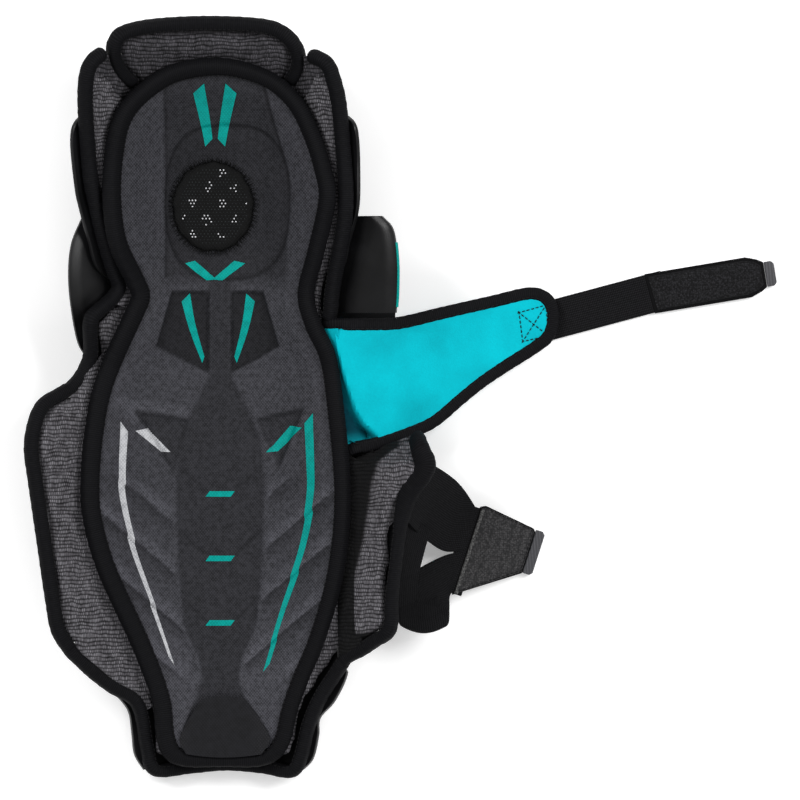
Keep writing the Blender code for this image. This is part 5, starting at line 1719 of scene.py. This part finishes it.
@dataclass
class HardShell:
    """The moulded pieces of the front: knee cap, shin cap, side shields and rivets."""

    knee_left: Route = ((-58, -64), (-85, -48), (-93, -26), (-99, -3), (-102, 12), (-105, 45), (-101, 60), (-88, 68))
    knee_right: Route = ((58, -64), (85, -48), (92, -26), (98, -4), (99, 18), (98, 48), (94, 60), (82, 68))
    shin_left: Route = ((-54, -404), (-61, -392), (-63, -376), (-66, -360), (-78, -344), (-84, -325), (-84, -130),
                        (-78, -98), (-62, -74))
    shin_right: Route = ((58, -404), (66, -395), (70, -378), (71, -366), (82, -353), (91, -331), (84, -312), (84, -130),
                         (78, -98), (62, -74))
    shield_left: Route = ((-92, -112), (-101, -100), (-106, -75), (-108, -50), (-106, -28), (-99, -10))
    shield_right: Route = ((126, -77), (127, -62), (127, -40), (124, -18), (116, -8))
    shield_root: float = 84.0
    shield_flare: float = 0.75
    rail: float = 2.4
    vent: tuple[float, float] = (3.5, 13.0)
    knee_vents: tuple[tuple[float, float, float], ...] = ((38, 30, 0.35), (38, -30, -0.35))
    shin_vents: tuple[tuple[float, float, float], ...] = ((36, -140, 0.2), (36, -200, 0.2), (36, -260, 0.2))
    rivets: tuple[tuple[str, float, float], ...] = (("knee_upper", 30, 58), ("knee_side", 82, 42),
                                                    ("shin_upper", 77, -150), ("shin_lower", 77, -290))

    def dish(self, x: Points, y: Points, vents: Sequence[tuple[float, float, float]]) -> Points:
        """A shallow dish round each vent, from 0 to 1."""
        found = np.zeros_like(x)
        for vx, vy, lean in vents:
            across = (np.abs(x) - vx) * math.cos(lean) + (y - vy) * math.sin(lean)
            along = (y - vy) * math.cos(lean) - (np.abs(x) - vx) * math.sin(lean)
            ring = np.hypot(across / (self.vent[0] + 4), along / (self.vent[1] + 4))
            found = np.maximum(found, 1 - smooth_step(0.75, 1.0, ring))
        return found

    def cap(self, name: str, left: Route, right: Route, ends: tuple[float, float], rail: tuple[float, float, float, float],
            vents: Sequence[tuple[float, float, float]]) -> None:
        """One moulded cap.

        Args:
            name: the piece's name; its solid has the same name without "shell".
            left: its left edge.
            right: its right edge.
            ends: where it starts and ends along the leg.
            rail: middle, half width, start and end of its two raised rails.
            vents: place and lean of its mirrored vents.
        """
        y = np.linspace(*ends, round((ends[1] - ends[0]) / 2.4))[:, None]
        u = (1 - np.cos(np.linspace(0, math.pi, 72)))[None] / 2
        low, high = edge_at(flow(left, 1.5))(y), edge_at(flow(right, 1.5))(y)
        x = low + (high - low) * u
        y = y + 0 * x
        centre, half, start, end = rail
        fade = smooth_step(start, start + 20, y) * (1 - smooth_step(end - 20, end, y))
        rise = self.rail * (1 - smooth_step(0.25 * half, half, np.abs(np.abs(x) - centre))) * fade
        rise = rise - 0.9 * self.dish(x, y, vents) + 1.2 * np.exp(-(x / 9) ** 2) * fade
        inner = SURFACE.layer(x, y, CAP_WALL - 0.2, CAP_WALL / 2)
        outer = SURFACE.layer(x, y, -np.maximum(rise, -0.9), CAP_WALL / 2)
        mesh = slab(name, inner, outer)

        def cut(piece: bpy.types.Object) -> None:
            """Cut the vents and soften the edges."""
            cutter = self.vent_cutter(vents)
            holes = piece.modifiers.new("vents", "BOOLEAN")
            holes.object = cutter
            holes.solver = "EXACT"
            soft = piece.modifiers.new("soft", "BEVEL")
            soft.width = 0.7 * MM
            soft.segments = 2
            soft.limit_method = "ANGLE"
            soft.angle_limit = math.radians(50)

        mesh = baked(mesh, cut)
        bpy.data.objects.remove(bpy.data.objects["vent_cutter"])
        put(f"{name}_shell", finish_mesh(mesh, 35), PLASTIC, Body.SHELL, (name,))

    def vent_cutter(self, vents: Sequence[tuple[float, float, float]]) -> bpy.types.Object:
        """One object that holds a long oval cutter for every vent."""
        bm = bmesh.new()
        for vx, vy, lean in vents:
            for side in (-1, 1):
                x, y = np.array(side * vx), np.array(vy)
                out = Vector(SURFACE.square(x, y))
                spot = Vector(SURFACE.behind(x, y, 1.5))
                across = Vector((0, 1, 0)).cross(out).normalized()
                frame = Matrix((across, out.cross(across), out)).transposed().to_4x4()
                shape = Matrix.Translation(spot) @ frame @ Matrix.Rotation(-side * lean, 4, "Z")
                shape = Matrix.Scale(MM, 4) @ shape @ Matrix.Diagonal((self.vent[0], self.vent[1], 1, 1))
                bmesh.ops.create_cone(bm, cap_ends=True, segments=36, radius1=1, radius2=1, depth=16, matrix=shape)
        mesh = bpy.data.meshes.new("vent_cutter")
        bm.to_mesh(mesh)
        bm.free()
        cutter = bpy.data.objects.new("vent_cutter", mesh)
        bpy.context.scene.collection.objects.link(cutter)
        cutter.hide_render = True
        return cutter

    def shields(self) -> None:
        """Two stiff side plates behind the waist, with a thin teal rim line on the strap side."""
        for hand, name, route in ((-1, "left", self.shield_left), (1, "right", self.shield_right)):
            rim = flow(route, 2.0)
            root = hand * self.shield_root
            inner = root - hand * np.linspace(14, 2, 7)[None] + 0 * rim[:, :1]
            x = np.hstack([inner, root + (rim[:, :1] - root) * np.linspace(0, 1, 30)[None]])
            y = rim[:, 1:] + 0 * x
            flange = SURFACE.layer(np.clip(x, -self.shield_root, self.shield_root), y, -0.6 - CAP_WALL)
            away = np.maximum(np.abs(x) - self.shield_root, 0)
            z = flange[..., 2] + away * self.shield_flare
            low = np.stack([x, y, z], -1)
            square = unit(np.array((-hand * self.shield_flare, 0.0, 1.0)))
            thick = CAP_WALL * (0.55 + 0.45 * smooth_step(0, 8, np.abs(rim[:, :1] - x)))
            mesh = slab(name, low + square * thick[..., None], low)
            put(f"side_shield_{name}_shell", mesh, PLASTIC, Body.SHELL, (f"side_shield_{name}",))
            if hand > 0:
                line = np.stack([rim[:, 0], rim[:, 1], z[:, -1] + 1.5], -1)[2:26]
                ones = np.tile((1.0, 0.0, 0.0), (len(line), 1))
                ups = np.tile((0.0, 0.0, 1.0), (len(line), 1))
                angle = np.linspace(0, 2 * math.pi, 8, endpoint=False)
                bead = np.tile(np.stack([0.9 * np.cos(angle), 0.9 * np.sin(angle)], -1), (len(line), 1, 1))
                put("side_shield_rim_line", sweep("rim_line", line, ones, ups, bead, False), TEAL_FILM, Body.SHELL)

    def skirt(self) -> None:
        """A flat flange under the right shield, which runs on below the edge of the calf wrap."""
        x, y = np.meshgrid(np.linspace(62, 125, 34), np.linspace(-99, -66, 16))
        foot = SURFACE.layer(np.minimum(x, self.shield_root - 2), y, -1.6 - CAP_WALL)
        low = np.stack([x, y, foot[..., 2] - 0.1 * np.maximum(x - self.shield_root, 0)], -1)
        mesh = slab("side_shield_skirt", low + np.array((0, 0, 2.4)), low)
        put("side_shield_skirt", mesh, PLASTIC, Body.SHELL)

    def rivet_heads(self) -> None:
        """Domed rivet heads on the two caps, in mirrored pairs, each on a flat washer."""
        places = np.array([(side * x, y) for _, x, y in self.rivets for side in (-1, 1)], float)
        facing = -SURFACE.square(places[:, 0], places[:, 1])
        nodes = [f"rivet_{name}_{hand}" for name, _, _ in self.rivets for hand in ("left", "right")]
        washer = SURFACE.behind(places[:, 0], places[:, 1], -0.8)
        mesh = grown("rivet_washers", point_mesh("rivet_washers", washer, facing), stud_tree(Stud.DISC), STEEL,
                     radius=5.0, height=1.0)
        put("rivet_washers", mesh, STEEL, Body.SHELL, nodes)
        head = SURFACE.behind(places[:, 0], places[:, 1], -1.2)
        mesh = grown("rivet_heads", point_mesh("rivet_heads", head, facing), stud_tree(Stud.DOME), STEEL, radius=3.6,
                     height=1.3)
        put("rivet_heads", mesh, STEEL, Body.SHELL)

    def build(self) -> None:
        """Make all the hard pieces."""
        self.cap("knee_cap", self.knee_left, self.knee_right, (-64, 67), (56, 16, -58, 66), self.knee_vents)
        self.cap("shin_cap", self.shin_left, self.shin_right, (-403, -75), (52, 15, -345, -85), self.shin_vents)
        self.shields()
        self.skirt()
        self.rivet_heads()


@dataclass(frozen=True)
class WrapBinding(EdgeBinding):
    """The tape round the calf wrap, which lies on the wrap's own droop."""

    def seat(self) -> tuple[Points, Points]:
        """Points of the tape's middle line, and the direction to the leg at each."""
        line = flow(self.route, 1.6)
        points = np.stack([line[:, 0], line[:, 1], CalfWrap.height(line[:, 0], line[:, 1])], -1)
        return points, CalfWrap.up(line[:, 0], line[:, 1])


@dataclass(frozen=True)
class WrapBridge(FoldBridge):
    """A short run of tape that carries the wrap's tape over its sewn edge and under the liner."""

    outer: float = 3.2
    width: float = 9.0
    height: float = 6.2

    def seat(self) -> tuple[Points, Points]:
        """Points of the tape's middle line, and the direction to the leg at each."""
        line = flow(self.route, 1.6)
        points = SURFACE.layer(line[:, 0], line[:, 1], BASE_HIGH - 2.0, BASE_MID)
        droop = CalfWrap.height(line[:, 0], line[:, 1])
        points[:, :2] = line
        points[:, 2] = np.minimum(points[:, 2], droop)
        return points, SURFACE.measure(points)[1]


@dataclass
class CalfWrap:
    """The teal wrap panel that droops from the carrier's side, with its tape and its sewn square."""

    route: Route = ((85, -84), (108, -84), (128, -83), (158, -76), (193, -68), (219, -62), (231, -64), (237, -71), (239, -81),
                    (235, -94), (224, -103), (205, -115), (187, -127), (172, -139), (153, -155), (136, -163), (113, -171),
                    (98, -174))
    wall: float = 4.0
    dip: float = 21.0  # how far the panel's foot is drawn down beside the liner
    box: tuple[tuple[float, float], ...] = ((213.3, -76.6), (232.6, -71.2), (234.3, -93.2), (216.0, -97.2))
    turn: Route = ((-172, 126), (-166, 113), (-157, 103), (-146, 96), (-125, 89), (-103, 83.4), (-84, 78))  # where it turns down

    @staticmethod
    def height(x: Points, y: Points) -> Points:
        """Height of the wrap's middle, which droops from its sewn edge to the floor."""
        top, low = np.array((81.0, -84.0)), np.array((94.0, -176.0))
        run = low - top
        length = math.hypot(*run)
        share = ((x - top[0]) * run[0] + (y - top[1]) * run[1]) / length ** 2
        away = (run[0] * (y - top[1]) - run[1] * (x - top[0])) / length
        ends = SURFACE.layer(np.array((81.0, 94.0)), np.array((-84.0, -176.0)), BASE_HIGH - 2.0, BASE_MID)[:, 2]
        root = ends[0] + (ends[1] - ends[0]) * share
        return root + (5.9 - root) * smooth_step(0, 150, away)

    @classmethod
    def up(cls, x: Points, y: Points) -> Points:
        """Direction square to the wrap."""
        across = cls.height(x + 0.5, y) - cls.height(x - 0.5, y)
        along = cls.height(x, y + 0.5) - cls.height(x, y - 0.5)
        return unit(np.stack([-across, -along, np.ones_like(across)], -1))

    def past_turn(self, x: Points, y: Points) -> Points:
        """How far places lie past the line where the panel turns down beside the liner."""
        return np.interp(y, *np.array(self.turn).T) - x

    def mark(self, mesh: bpy.types.Mesh) -> None:
        """Mark how far the cloth is turned down at each of a mesh's points, which sets its painted shade."""
        marked(mesh, "turned", lambda x, y: smooth_step(-1, 6, self.past_turn(x, y)) * smooth_step(92, 116, -y)
               * (1 - 0.6 * smooth_step(160, 172, -y)))

    def panel(self) -> None:
        """The panel itself, a little fuller in the middle and soft in its folds."""
        line = flow(self.route, 2.0)
        along = tangents(line, False)
        edge = line + np.stack([along[:, 1], -along[:, 0]], 1) * 4.1
        tip = int(np.argmax(edge[:, 0]))
        root = np.array(((81.0, -84.0), (94.0, -176.0)))
        top = np.vstack([root[0] + (root[1] - root[0]) * 0.05, edge[:tip]])
        low = np.vstack([root[1] + (root[0] - root[1]) * 0.09, edge[:tip:-1]])
        length = 90
        lines = []
        for side in (top, low):
            run = np.concatenate([[0], np.linalg.norm(np.diff(side, axis=0), axis=1).cumsum()])
            stops = np.linspace(0, run[-1], length)
            lines.append(np.stack([np.interp(stops, run, side[:, k]) for k in (0, 1)], -1))
        share = np.linspace(0, 1, 44)[:, None, None]
        place = lines[1][None] + (lines[0] - lines[1])[None] * share
        x, y = place[..., 0], place[..., 1]
        z = self.height(x, y)
        fold = 0.5 * np.sin((x - 1.2 * y) / 23 + 0.6)
        middle = np.sin(math.pi * share[..., 0]) * (1 - smooth_step(175, 205, x))
        z = z - self.dip * smooth_step(-1, 5, 0.8 * self.past_turn(x, y)) * middle ** 0.3
        up = self.up(x, y)
        spot = np.stack([x, y, z], -1)
        bulge = (self.wall / 2 + (0.9 + fold) * middle ** 0.7)[..., None]
        mesh = slab("calf_wrap_panel", spot + up * bulge, spot - up * (self.wall / 2 - 0.2))
        # Painted shade where the panel turns down beside the liner.
        self.mark(mesh)
        put("calf_wrap_panel", mesh, NEOPRENE, Body.WRAP, ("wrap_panel",))

    def build(self, room: SewingRoom) -> None:
        """Make the panel, its tape and its sewn square."""
        self.panel()
        WrapBinding("calf_wrap_tape", Body.WRAP, self.route, -1, outer=3.4, width=9.4, height=6.4,
                    stands_for=("wrap_binding",)).build(room)
        # The strip gets the same painted shade where it turns down.
        FoldStrip("fold_strip_wrap", Body.WRAP, ((68, -87), (82, -177)), ((86, -87), (100, -174)), NEOPRENE, Slot.WRAP,
                  0.4, 0.6, 14.0).build(self.mark)
        WrapBridge("fold_bridge_wrap_top", Body.WRAP, ((66, -83), (75, -84), (85, -84), (97, -84)), -1).bend()
        WrapBridge("fold_bridge_wrap_low", Body.WRAP, ((84, -181), (91, -177), (98, -174), (110, -172)), 1).bend()
        a, b, c, d = np.array(self.box)
        for line in ((a, b, c, d, a), (a, c), (b, d)):
            path = even(np.array(line), 1.5)
            height = self.height(path[:, 0], path[:, 1])
            room.add(Body.WRAP, np.stack([path[:, 0], path[:, 1], height + self.wall / 2 + 0.3], -1))


@dataclass(frozen=True)
class StrapFold:
    """A short length of webbing across a sewn fold in a strap, which bends with it."""

    name: str
    first: Body
    second: Body
    edges: tuple[Points, Points]  # two edge lines, each from the first body to the second
    wall: float = 2.3

    def build(self) -> None:
        """Make the webbing, on no body."""
        lines = [even(line, 0.9) for line in self.edges]
        piece = put(self.name, ribbon(self.name, lines[0], lines[1], self.wall, 14), ELASTIC, None)
        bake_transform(piece)


@dataclass
class Straps:
    """The upper elastic strap on the wrap and the forked strap on the right wing, with tabs and pulls."""

    wall: float = 2.0
    elastic_start: tuple[float, float] = (243.6, -80.0)
    elastic_turn: float = 15.0
    tab_turn: float = 9.5
    elastic: tuple[float, float] = (65.0, 28.0)
    tongue: float = 28.0
    tab: tuple[float, float] = (84.0, 29.0)
    pull: tuple[float, float, float] = (7.0, 18.0, 3.0)
    y_height: float = 12.0
    y_edge: tuple[tuple[float, float], ...] = ((165, -278), (185, -216))
    y_tab_length: float = 44.0
    y_root: float = 66.0
    y_end: float = 33.0
    y_skew: float = 15.0
    upper_top: Route = ((147, -183), (164, -193), (174, -203))
    upper_low: Route = ((138, -231), (147, -239), (160, -247))
    lower_in: Route = ((160, -250), (142, -259), (130, -268), (127, -285), (127, -291), (127.2, -296.5))
    lower_out: Route = ((163, -281), (163.5, -286), (163.6, -289), (163.6, -292), (163.4, -296.5))
    lower_inset: float = 7.0  # how far its edges draw in where it turns under
    lower_bow: float = 5.0  # how far the middle of the turned end hangs below its corners
    return_in: Sequence[tuple[float, float, float]] = ((122, -212, 44), (123, -255, 36), (125, -296, 24))
    return_out: Sequence[tuple[float, float, float]] = ((150, -232, 30), (145, -250, 27), (141, -268, 25), (141, -292, 22))

    def upper(self, room: SewingRoom) -> None:
        """The strap at the tip of the wrap."""
        height = 0.4 + self.wall / 2
        base = Matrix.Translation((*self.elastic_start, height)) @ Matrix.Rotation(math.radians(self.elastic_turn), 4, "Z")
        half = self.elastic[1] / 2
        runs = (("upper_strap_tongue_webbing", -self.tongue, -0.6, Body.WRAP, "upper_strap_tongue"),
                ("upper_strap_webbing", 0.0, self.elastic[0] + 12, Body.UPPER_STRAP, "upper_strap_elastic"))
        for name, start, end, body, node in runs:
            x = np.linspace(start, end, round((end - start) / 1.5))
            lines = [self.laid(base, np.stack([x, np.full_like(x, side * half), 0.25 * np.sin(x / 9)], -1))
                     for side in (-1, 1)]
            put(name, ribbon(name, lines[0], lines[1], self.wall, 18), ELASTIC, body, (node,))
        x = np.linspace(-9, 9, 21)
        StrapFold("upper_strap_fold_webbing", Body.WRAP, Body.UPPER_STRAP, tuple(
            self.laid(base, np.stack([x, np.full_like(x, side * (half - 0.1)), 0 * x], -1)) for side in (-1, 1))).build()
        turn = math.radians(self.elastic_turn - self.tab_turn)
        base = base @ Matrix.Translation((self.elastic[0], 0, 0)) @ Matrix.Rotation(-turn, 4, "Z")
        self.hook_tab("upper_strap_tab", base, self.tab_outline(0.3, turn), Body.UPPER_STRAP, "upper_strap_hook_tab", HOOK,
                      room)
        self.grip("upper_strap_grip", base @ Matrix.Translation((self.tab[0] + 0.3, 0, 0)), self.pull[1], Body.UPPER_STRAP,
                  "upper_strap_pull")

    def tab_outline(self, start: float, lean: float) -> list[tuple[float, float]]:
        """Corners of the hook tab: a root edge that leans to meet the elastic, and cut corners at its end."""
        length, half, end = self.tab[0], self.tab[1] / 2, self.pull[1] / 2
        slip = half * math.tan(lean)
        return [(start + slip, -half), (length - 12, -half), (length - 4, -half + 3), (length, -end), (length, end),
                (length - 4, half - 3), (length - 12, half), (start - slip, half)]

    @staticmethod
    def laid(base: Matrix, points: Points) -> Points:
        """Points of a frame in the guard's frame."""
        turn = np.array(base)
        return points @ turn[:3, :3].T + turn[:3, 3]

    def hook_tab(self, name: str, base: Matrix, outline: Route, body: Body, node: str, face: "Finish",
                 room: SewingRoom, margin: float = 2.2) -> None:
        """A strap end with a field of hooks sewn to it.

        Args:
            name: the piece's name.
            base: its frame.
            outline: its corners.
            body: the body it rides on.
            node: the solid that it replaces.
            face: what its upper face is made of.
            room: where its stitches are gathered.
            margin: width of the plain edge round the field.
        """
        put(name, plate(name, outline, self.wall + 0.8, base @ Matrix.Translation((0, 0, 0.4)), 0.6), ELASTIC, body,
            (node,))
        middle = np.mean(np.array(outline), axis=0)
        corners = np.array(outline, float)
        inner = []
        for point, before, after in zip(corners, np.roll(corners, 1, axis=0), np.roll(corners, -1, axis=0)):
            pull = unit((middle - point)[None])[0] * 2.6 if np.linalg.norm(after - before) < 14 else None
            inner.append(point + (pull if pull is not None else np.sign(middle - point) * margin))
        field = plate(f"{name}_face", [tuple(p) for p in inner], 0.7, base @ Matrix.Translation((0, 0, self.wall / 2 + 1.0)),
                      0.25)
        put(f"{name}_face", field, face, body)
        ring = np.array(inner + inner[:1])
        seam = even(middle + (ring - middle) * 0.96, 1.5, True)
        flat = np.hstack([seam, np.full((len(seam), 1), self.wall / 2 + 1.4)])
        room.add(body, self.laid(base, flat), True)

    def grip(self, name: str, base: Matrix, width: float, body: Body, node: str) -> None:
        """A small moulded pull at the end of a strap."""
        length, _, wall = self.pull
        half = width / 2
        outline = [(0, -half), (length - 2, -half), (length, -half + 2), (length, half - 2), (length - 2, half), (0, half)]
        lift = Matrix.Translation((0, 0, (wall - self.wall) / 2))
        put(name, plate(name, outline, wall, base @ lift, 0.8), RUBBER, body, (node,))

    @staticmethod
    def sloping(points: list, start: float, end: float) -> list[tuple[float, float, float]]:
        """A plan route given heights that ease from start to end, at first quickly where it comes down."""
        last = len(points) - 1
        bend = 0.55 if start > end else 1.0  # a strap that comes down leaves the wing above it room
        ease = [float(smooth_step(0, 1, np.array(k / last))) ** bend for k in range(last + 1)]
        return [(p[0], p[1], start + (end - start) * e) for p, e in zip(points, ease)]

    def leg(self, name: str, edges: Sequence[Sequence[Route]], nodes: Sequence[str], bow: float = 0.0) -> None:
        """One leg of the forked strap.

        Args:
            name: the piece's name.
            edges: its two edges, each in stages that start and end together.
            nodes: the solids that it replaces.
            bow: how far the middle of its turned end hangs below its corners.
        """
        lines = []
        for edge in edges:
            parts = []
            for stage in edge:
                fine = flow(np.array(stage), 0.4)
                run = np.linspace(0, len(fine) - 1, 44)
                parts.append(np.stack([np.interp(run, np.arange(len(fine)), fine[:, k]) for k in range(3)], -1))
            lines.append(np.concatenate([parts[0], *(part[1:] for part in parts[1:])]))
        hang = smooth_step(15, 43, np.arange(len(lines[0])))[:, None] * np.array((0, -bow, 0))
        mesh = ribbon(name, lines[0], lines[1], self.wall, 22, hang)
        put(name, mesh, ELASTIC, Body.Y_STRAP, nodes)

    def forked(self, room: SewingRoom) -> None:
        """The forked strap on the right wing and its tab."""
        line = np.array([(*p, self.y_height) for p in self.y_edge], float)
        along = unit((line[1] - line[0])[None])[0]
        out = np.cross(along, (0, 0, 1))
        sewn = line - out * 0.9
        roots = SURFACE.layer(np.full(2, 125.6), np.array((-216.0, -177.0)), LANDING_LOW + 0.65)
        edges = []
        for root, side, share in zip(roots, (self.upper_low, self.upper_top), (0.505, 0.97)):
            route = [root[:2], *side, (sewn[0] + (sewn[1] - sewn[0]) * share)[:2]]
            edges.append([self.sloping(route, root[2], self.y_height)])
        self.leg("forked_strap_upper", edges, ("y_strap_upper_leg",))
        edges = []
        for side, share in zip((self.lower_out, self.lower_in), (0.03, 0.495)):
            route = self.sloping([(sewn[0] + (sewn[1] - sewn[0]) * share)[:2], *side], self.y_height, 30.0)
            end = np.array(route[-1])
            draw = self.lower_inset * math.copysign(0.5, 145 - end[0])
            bend = [end + np.array((draw * (1 - math.cos(a)), -3 * math.sin(a), 3 * math.cos(a) - 3))
                    for a in np.linspace(0, math.pi, 7)]
            edges.append([route, bend, [bend[-1] + np.array((0, 9.0 * k, 0)) for k in (0, 1, 2)]])
        self.leg("forked_strap_lower", edges[::-1], ("y_strap_lower_leg",), self.lower_bow)
        self.leg("forked_strap_return", [[self.return_out], [self.return_in]], ())
        self.forked_tab(line[0], along, out, room)

    def forked_tab(self, corner: Points, along: Points, out: Points, room: SewingRoom) -> None:
        """The tab where the two legs meet, which slopes down to the floor."""
        drop = self.y_height - 0.4 - self.wall / 2 - 0.3
        slope = math.asin(drop / (self.y_tab_length + self.pull[0]))
        down = Vector(out) * math.cos(slope) - Vector((0, 0, math.sin(slope)))
        side = Vector(along)
        base = Matrix.Translation(Vector(corner)) @ Matrix((down, side, down.cross(side))).transposed().to_4x4()
        low, high, length = self.y_skew * 2, self.y_skew * 2 + self.y_end, self.y_tab_length
        outline = [(0.3, 0), (length, low), (length, high - 2), (length - 2, high), (4, self.y_root + 2), (0.3, self.y_root)]
        lines = []
        for place in (1.0, self.y_root - 1.0):
            start = np.array(corner) + np.array(along) * place
            lines.append(np.array([start - out * 8, start, start + np.array(down) * 7]))
        StrapFold("forked_strap_fold_webbing", Body.Y_STRAP, Body.Y_TAB, tuple(lines)).build()
        self.hook_tab("forked_strap_tab", base, outline, Body.Y_TAB, "y_strap_hook_tab", WEBBING_FACE, room, 0.9)
        hem = self.laid(base, np.stack([np.full(40, 2.5), np.linspace(1, self.y_root - 1, 40), np.full(40, self.wall / 2 + 1.3)], -1))
        ring = np.linspace(0, 2 * math.pi, 10, endpoint=False)
        bead = np.stack([1.3 * np.cos(ring), 0.8 * np.sin(ring)], -1)[None] * (1 + 0.12 * np.sin(np.arange(40) * 1.7))[:, None, None]
        sides, ups = (np.tile(np.array(vector), (40, 1)) for vector in (down, down.cross(side)))
        put("forked_strap_hem", sweep("forked_strap_hem", hem, sides, ups, bead, False), WORN_EDGE, Body.Y_TAB)
        self.grip("forked_strap_grip", base @ Matrix.Translation((length + 0.3, (low + high) / 2, 0)), self.y_end - 0.6,
                  Body.Y_TAB, "y_strap_pull")

    def build(self, room: SewingRoom) -> None:
        """Make both straps."""
        self.upper(room)
        self.forked(room)


@dataclass(frozen=True)
class PaleFloor(Finish):
    """Matt white sweep of paper, lifted to white for the camera and for reflections."""

    lift: float = 0.28

    def dress(self, tree: bpy.types.NodeTree, shader: bpy.types.Node) -> None:
        """Set the paper's white and its lift."""
        path = add_node(tree, "ShaderNodeLightPath")
        seen = add_node(tree, "ShaderNodeMath", {0: path.outputs["Is Camera Ray"], 1: path.outputs["Is Glossy Ray"]},
                        operation="MAXIMUM")
        seen = add_node(tree, "ShaderNodeMath", {0: seen.outputs[0], 1: path.outputs["Is Transmission Ray"]}, operation="MAXIMUM")
        lift = add_node(tree, "ShaderNodeMath", {0: seen.outputs[0], 1: self.lift}, operation="MULTIPLY")
        shader.inputs["Base Color"].default_value = linear("#f6f6f6")
        shader.inputs["Roughness"].default_value = 0.9
        shader.inputs["Emission Color"].default_value = (1, 1, 1, 1)
        tree.links.new(lift.outputs[0], shader.inputs["Emission Strength"])


@dataclass
class Studio:
    """Floor, soft light and the camera straight over the guard."""

    aim: tuple[float, float] = (128.3, -139.0)
    height: float = 12000.0  # far off, so that the layers hardly spread
    view: float = 570.4  # width that the picture covers at the pads' height
    pads: float = 30.0

    def build(self) -> None:
        """Set up the whole studio."""
        scene = bpy.context.scene
        scene.view_settings.view_transform = "Standard"
        camera = bpy.data.cameras.new("camera")
        camera.sensor_width = 36
        camera.lens = 36 * (self.height - self.pads) / self.view
        camera.clip_end = 20
        eye = bpy.data.objects.new("camera", camera)
        eye.location = Vector((*self.aim, self.height)) * MM
        scene.collection.objects.link(eye)
        scene.camera = eye
        self.floor()
        self.lamps()

    def floor(self) -> None:
        """The floor and the world round it."""
        bm = bmesh.new()
        bmesh.ops.create_grid(bm, x_segments=4, y_segments=4, size=6)
        bmesh.ops.translate(bm, verts=bm.verts, vec=(0, 0, -0.0013))
        mesh = bpy.data.meshes.new("floor")
        bm.to_mesh(mesh)
        bm.free()
        mesh.materials.append(PaleFloor("pale_floor").make())
        floor = bpy.data.objects.new("floor", mesh)
        bpy.context.scene.collection.objects.link(floor)
        world = bpy.data.worlds.new("studio")
        world.use_nodes = True
        tree = world.node_tree
        tree.nodes.clear()
        path = add_node(tree, "ShaderNodeLightPath")
        seen = add_node(tree, "ShaderNodeMath", {0: path.outputs["Is Camera Ray"], 1: path.outputs["Is Transmission Ray"]},
                        operation="MAXIMUM")
        level = add_node(tree, "ShaderNodeMapRange", {0: seen.outputs[0], 1: 0.0, 2: 1.0, 3: 0.35, 4: 1.0})
        sky = add_node(tree, "ShaderNodeBackground", {"Color": (1, 1, 1, 1), "Strength": level.outputs[0]})
        add_node(tree, "ShaderNodeOutputWorld", {0: sky.outputs[0]})
        bpy.context.scene.world = world

    def lamps(self) -> None:
        """Three large soft lamps."""
        table = (("left", (-1.4, 0.8, 1.8), 1.0, 33.0), ("right", (1.5, 0.6, 1.7), 1.0, 34.0), ("low", (0.1, -1.9, 1.4), 1.2, 13.0))
        target = Vector((0.05, -0.14, 0.03))
        for name, place, size, power in table:
            lamp = bpy.data.lights.new(name, "AREA")
            lamp.shape = "SQUARE"
            lamp.size = size
            lamp.energy = power
            holder = bpy.data.objects.new(name, lamp)
            holder.location = place
            holder.visible_camera = False
            holder.rotation_euler = (Vector(place) - target).to_track_quat("Z", "Y").to_euler()
            bpy.context.scene.collection.objects.link(holder)


def main() -> None:
    """Load the frame, dress every sub-assembly and set the studio up."""
    logging.basicConfig(level=logging.INFO, format="%(name)s %(message)s")
    for old in list(bpy.data.objects):
        bpy.data.objects.remove(old)
    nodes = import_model()["nodes"]
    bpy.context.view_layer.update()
    Studio().build()
    room = SewingRoom()
    HardShell().build()
    Carrier().build(nodes, room)
    Liner().build(room)
    CalfWrap().build(room)
    Straps().build(room)
    room.sew()


if __name__ == "__main__":
    main()
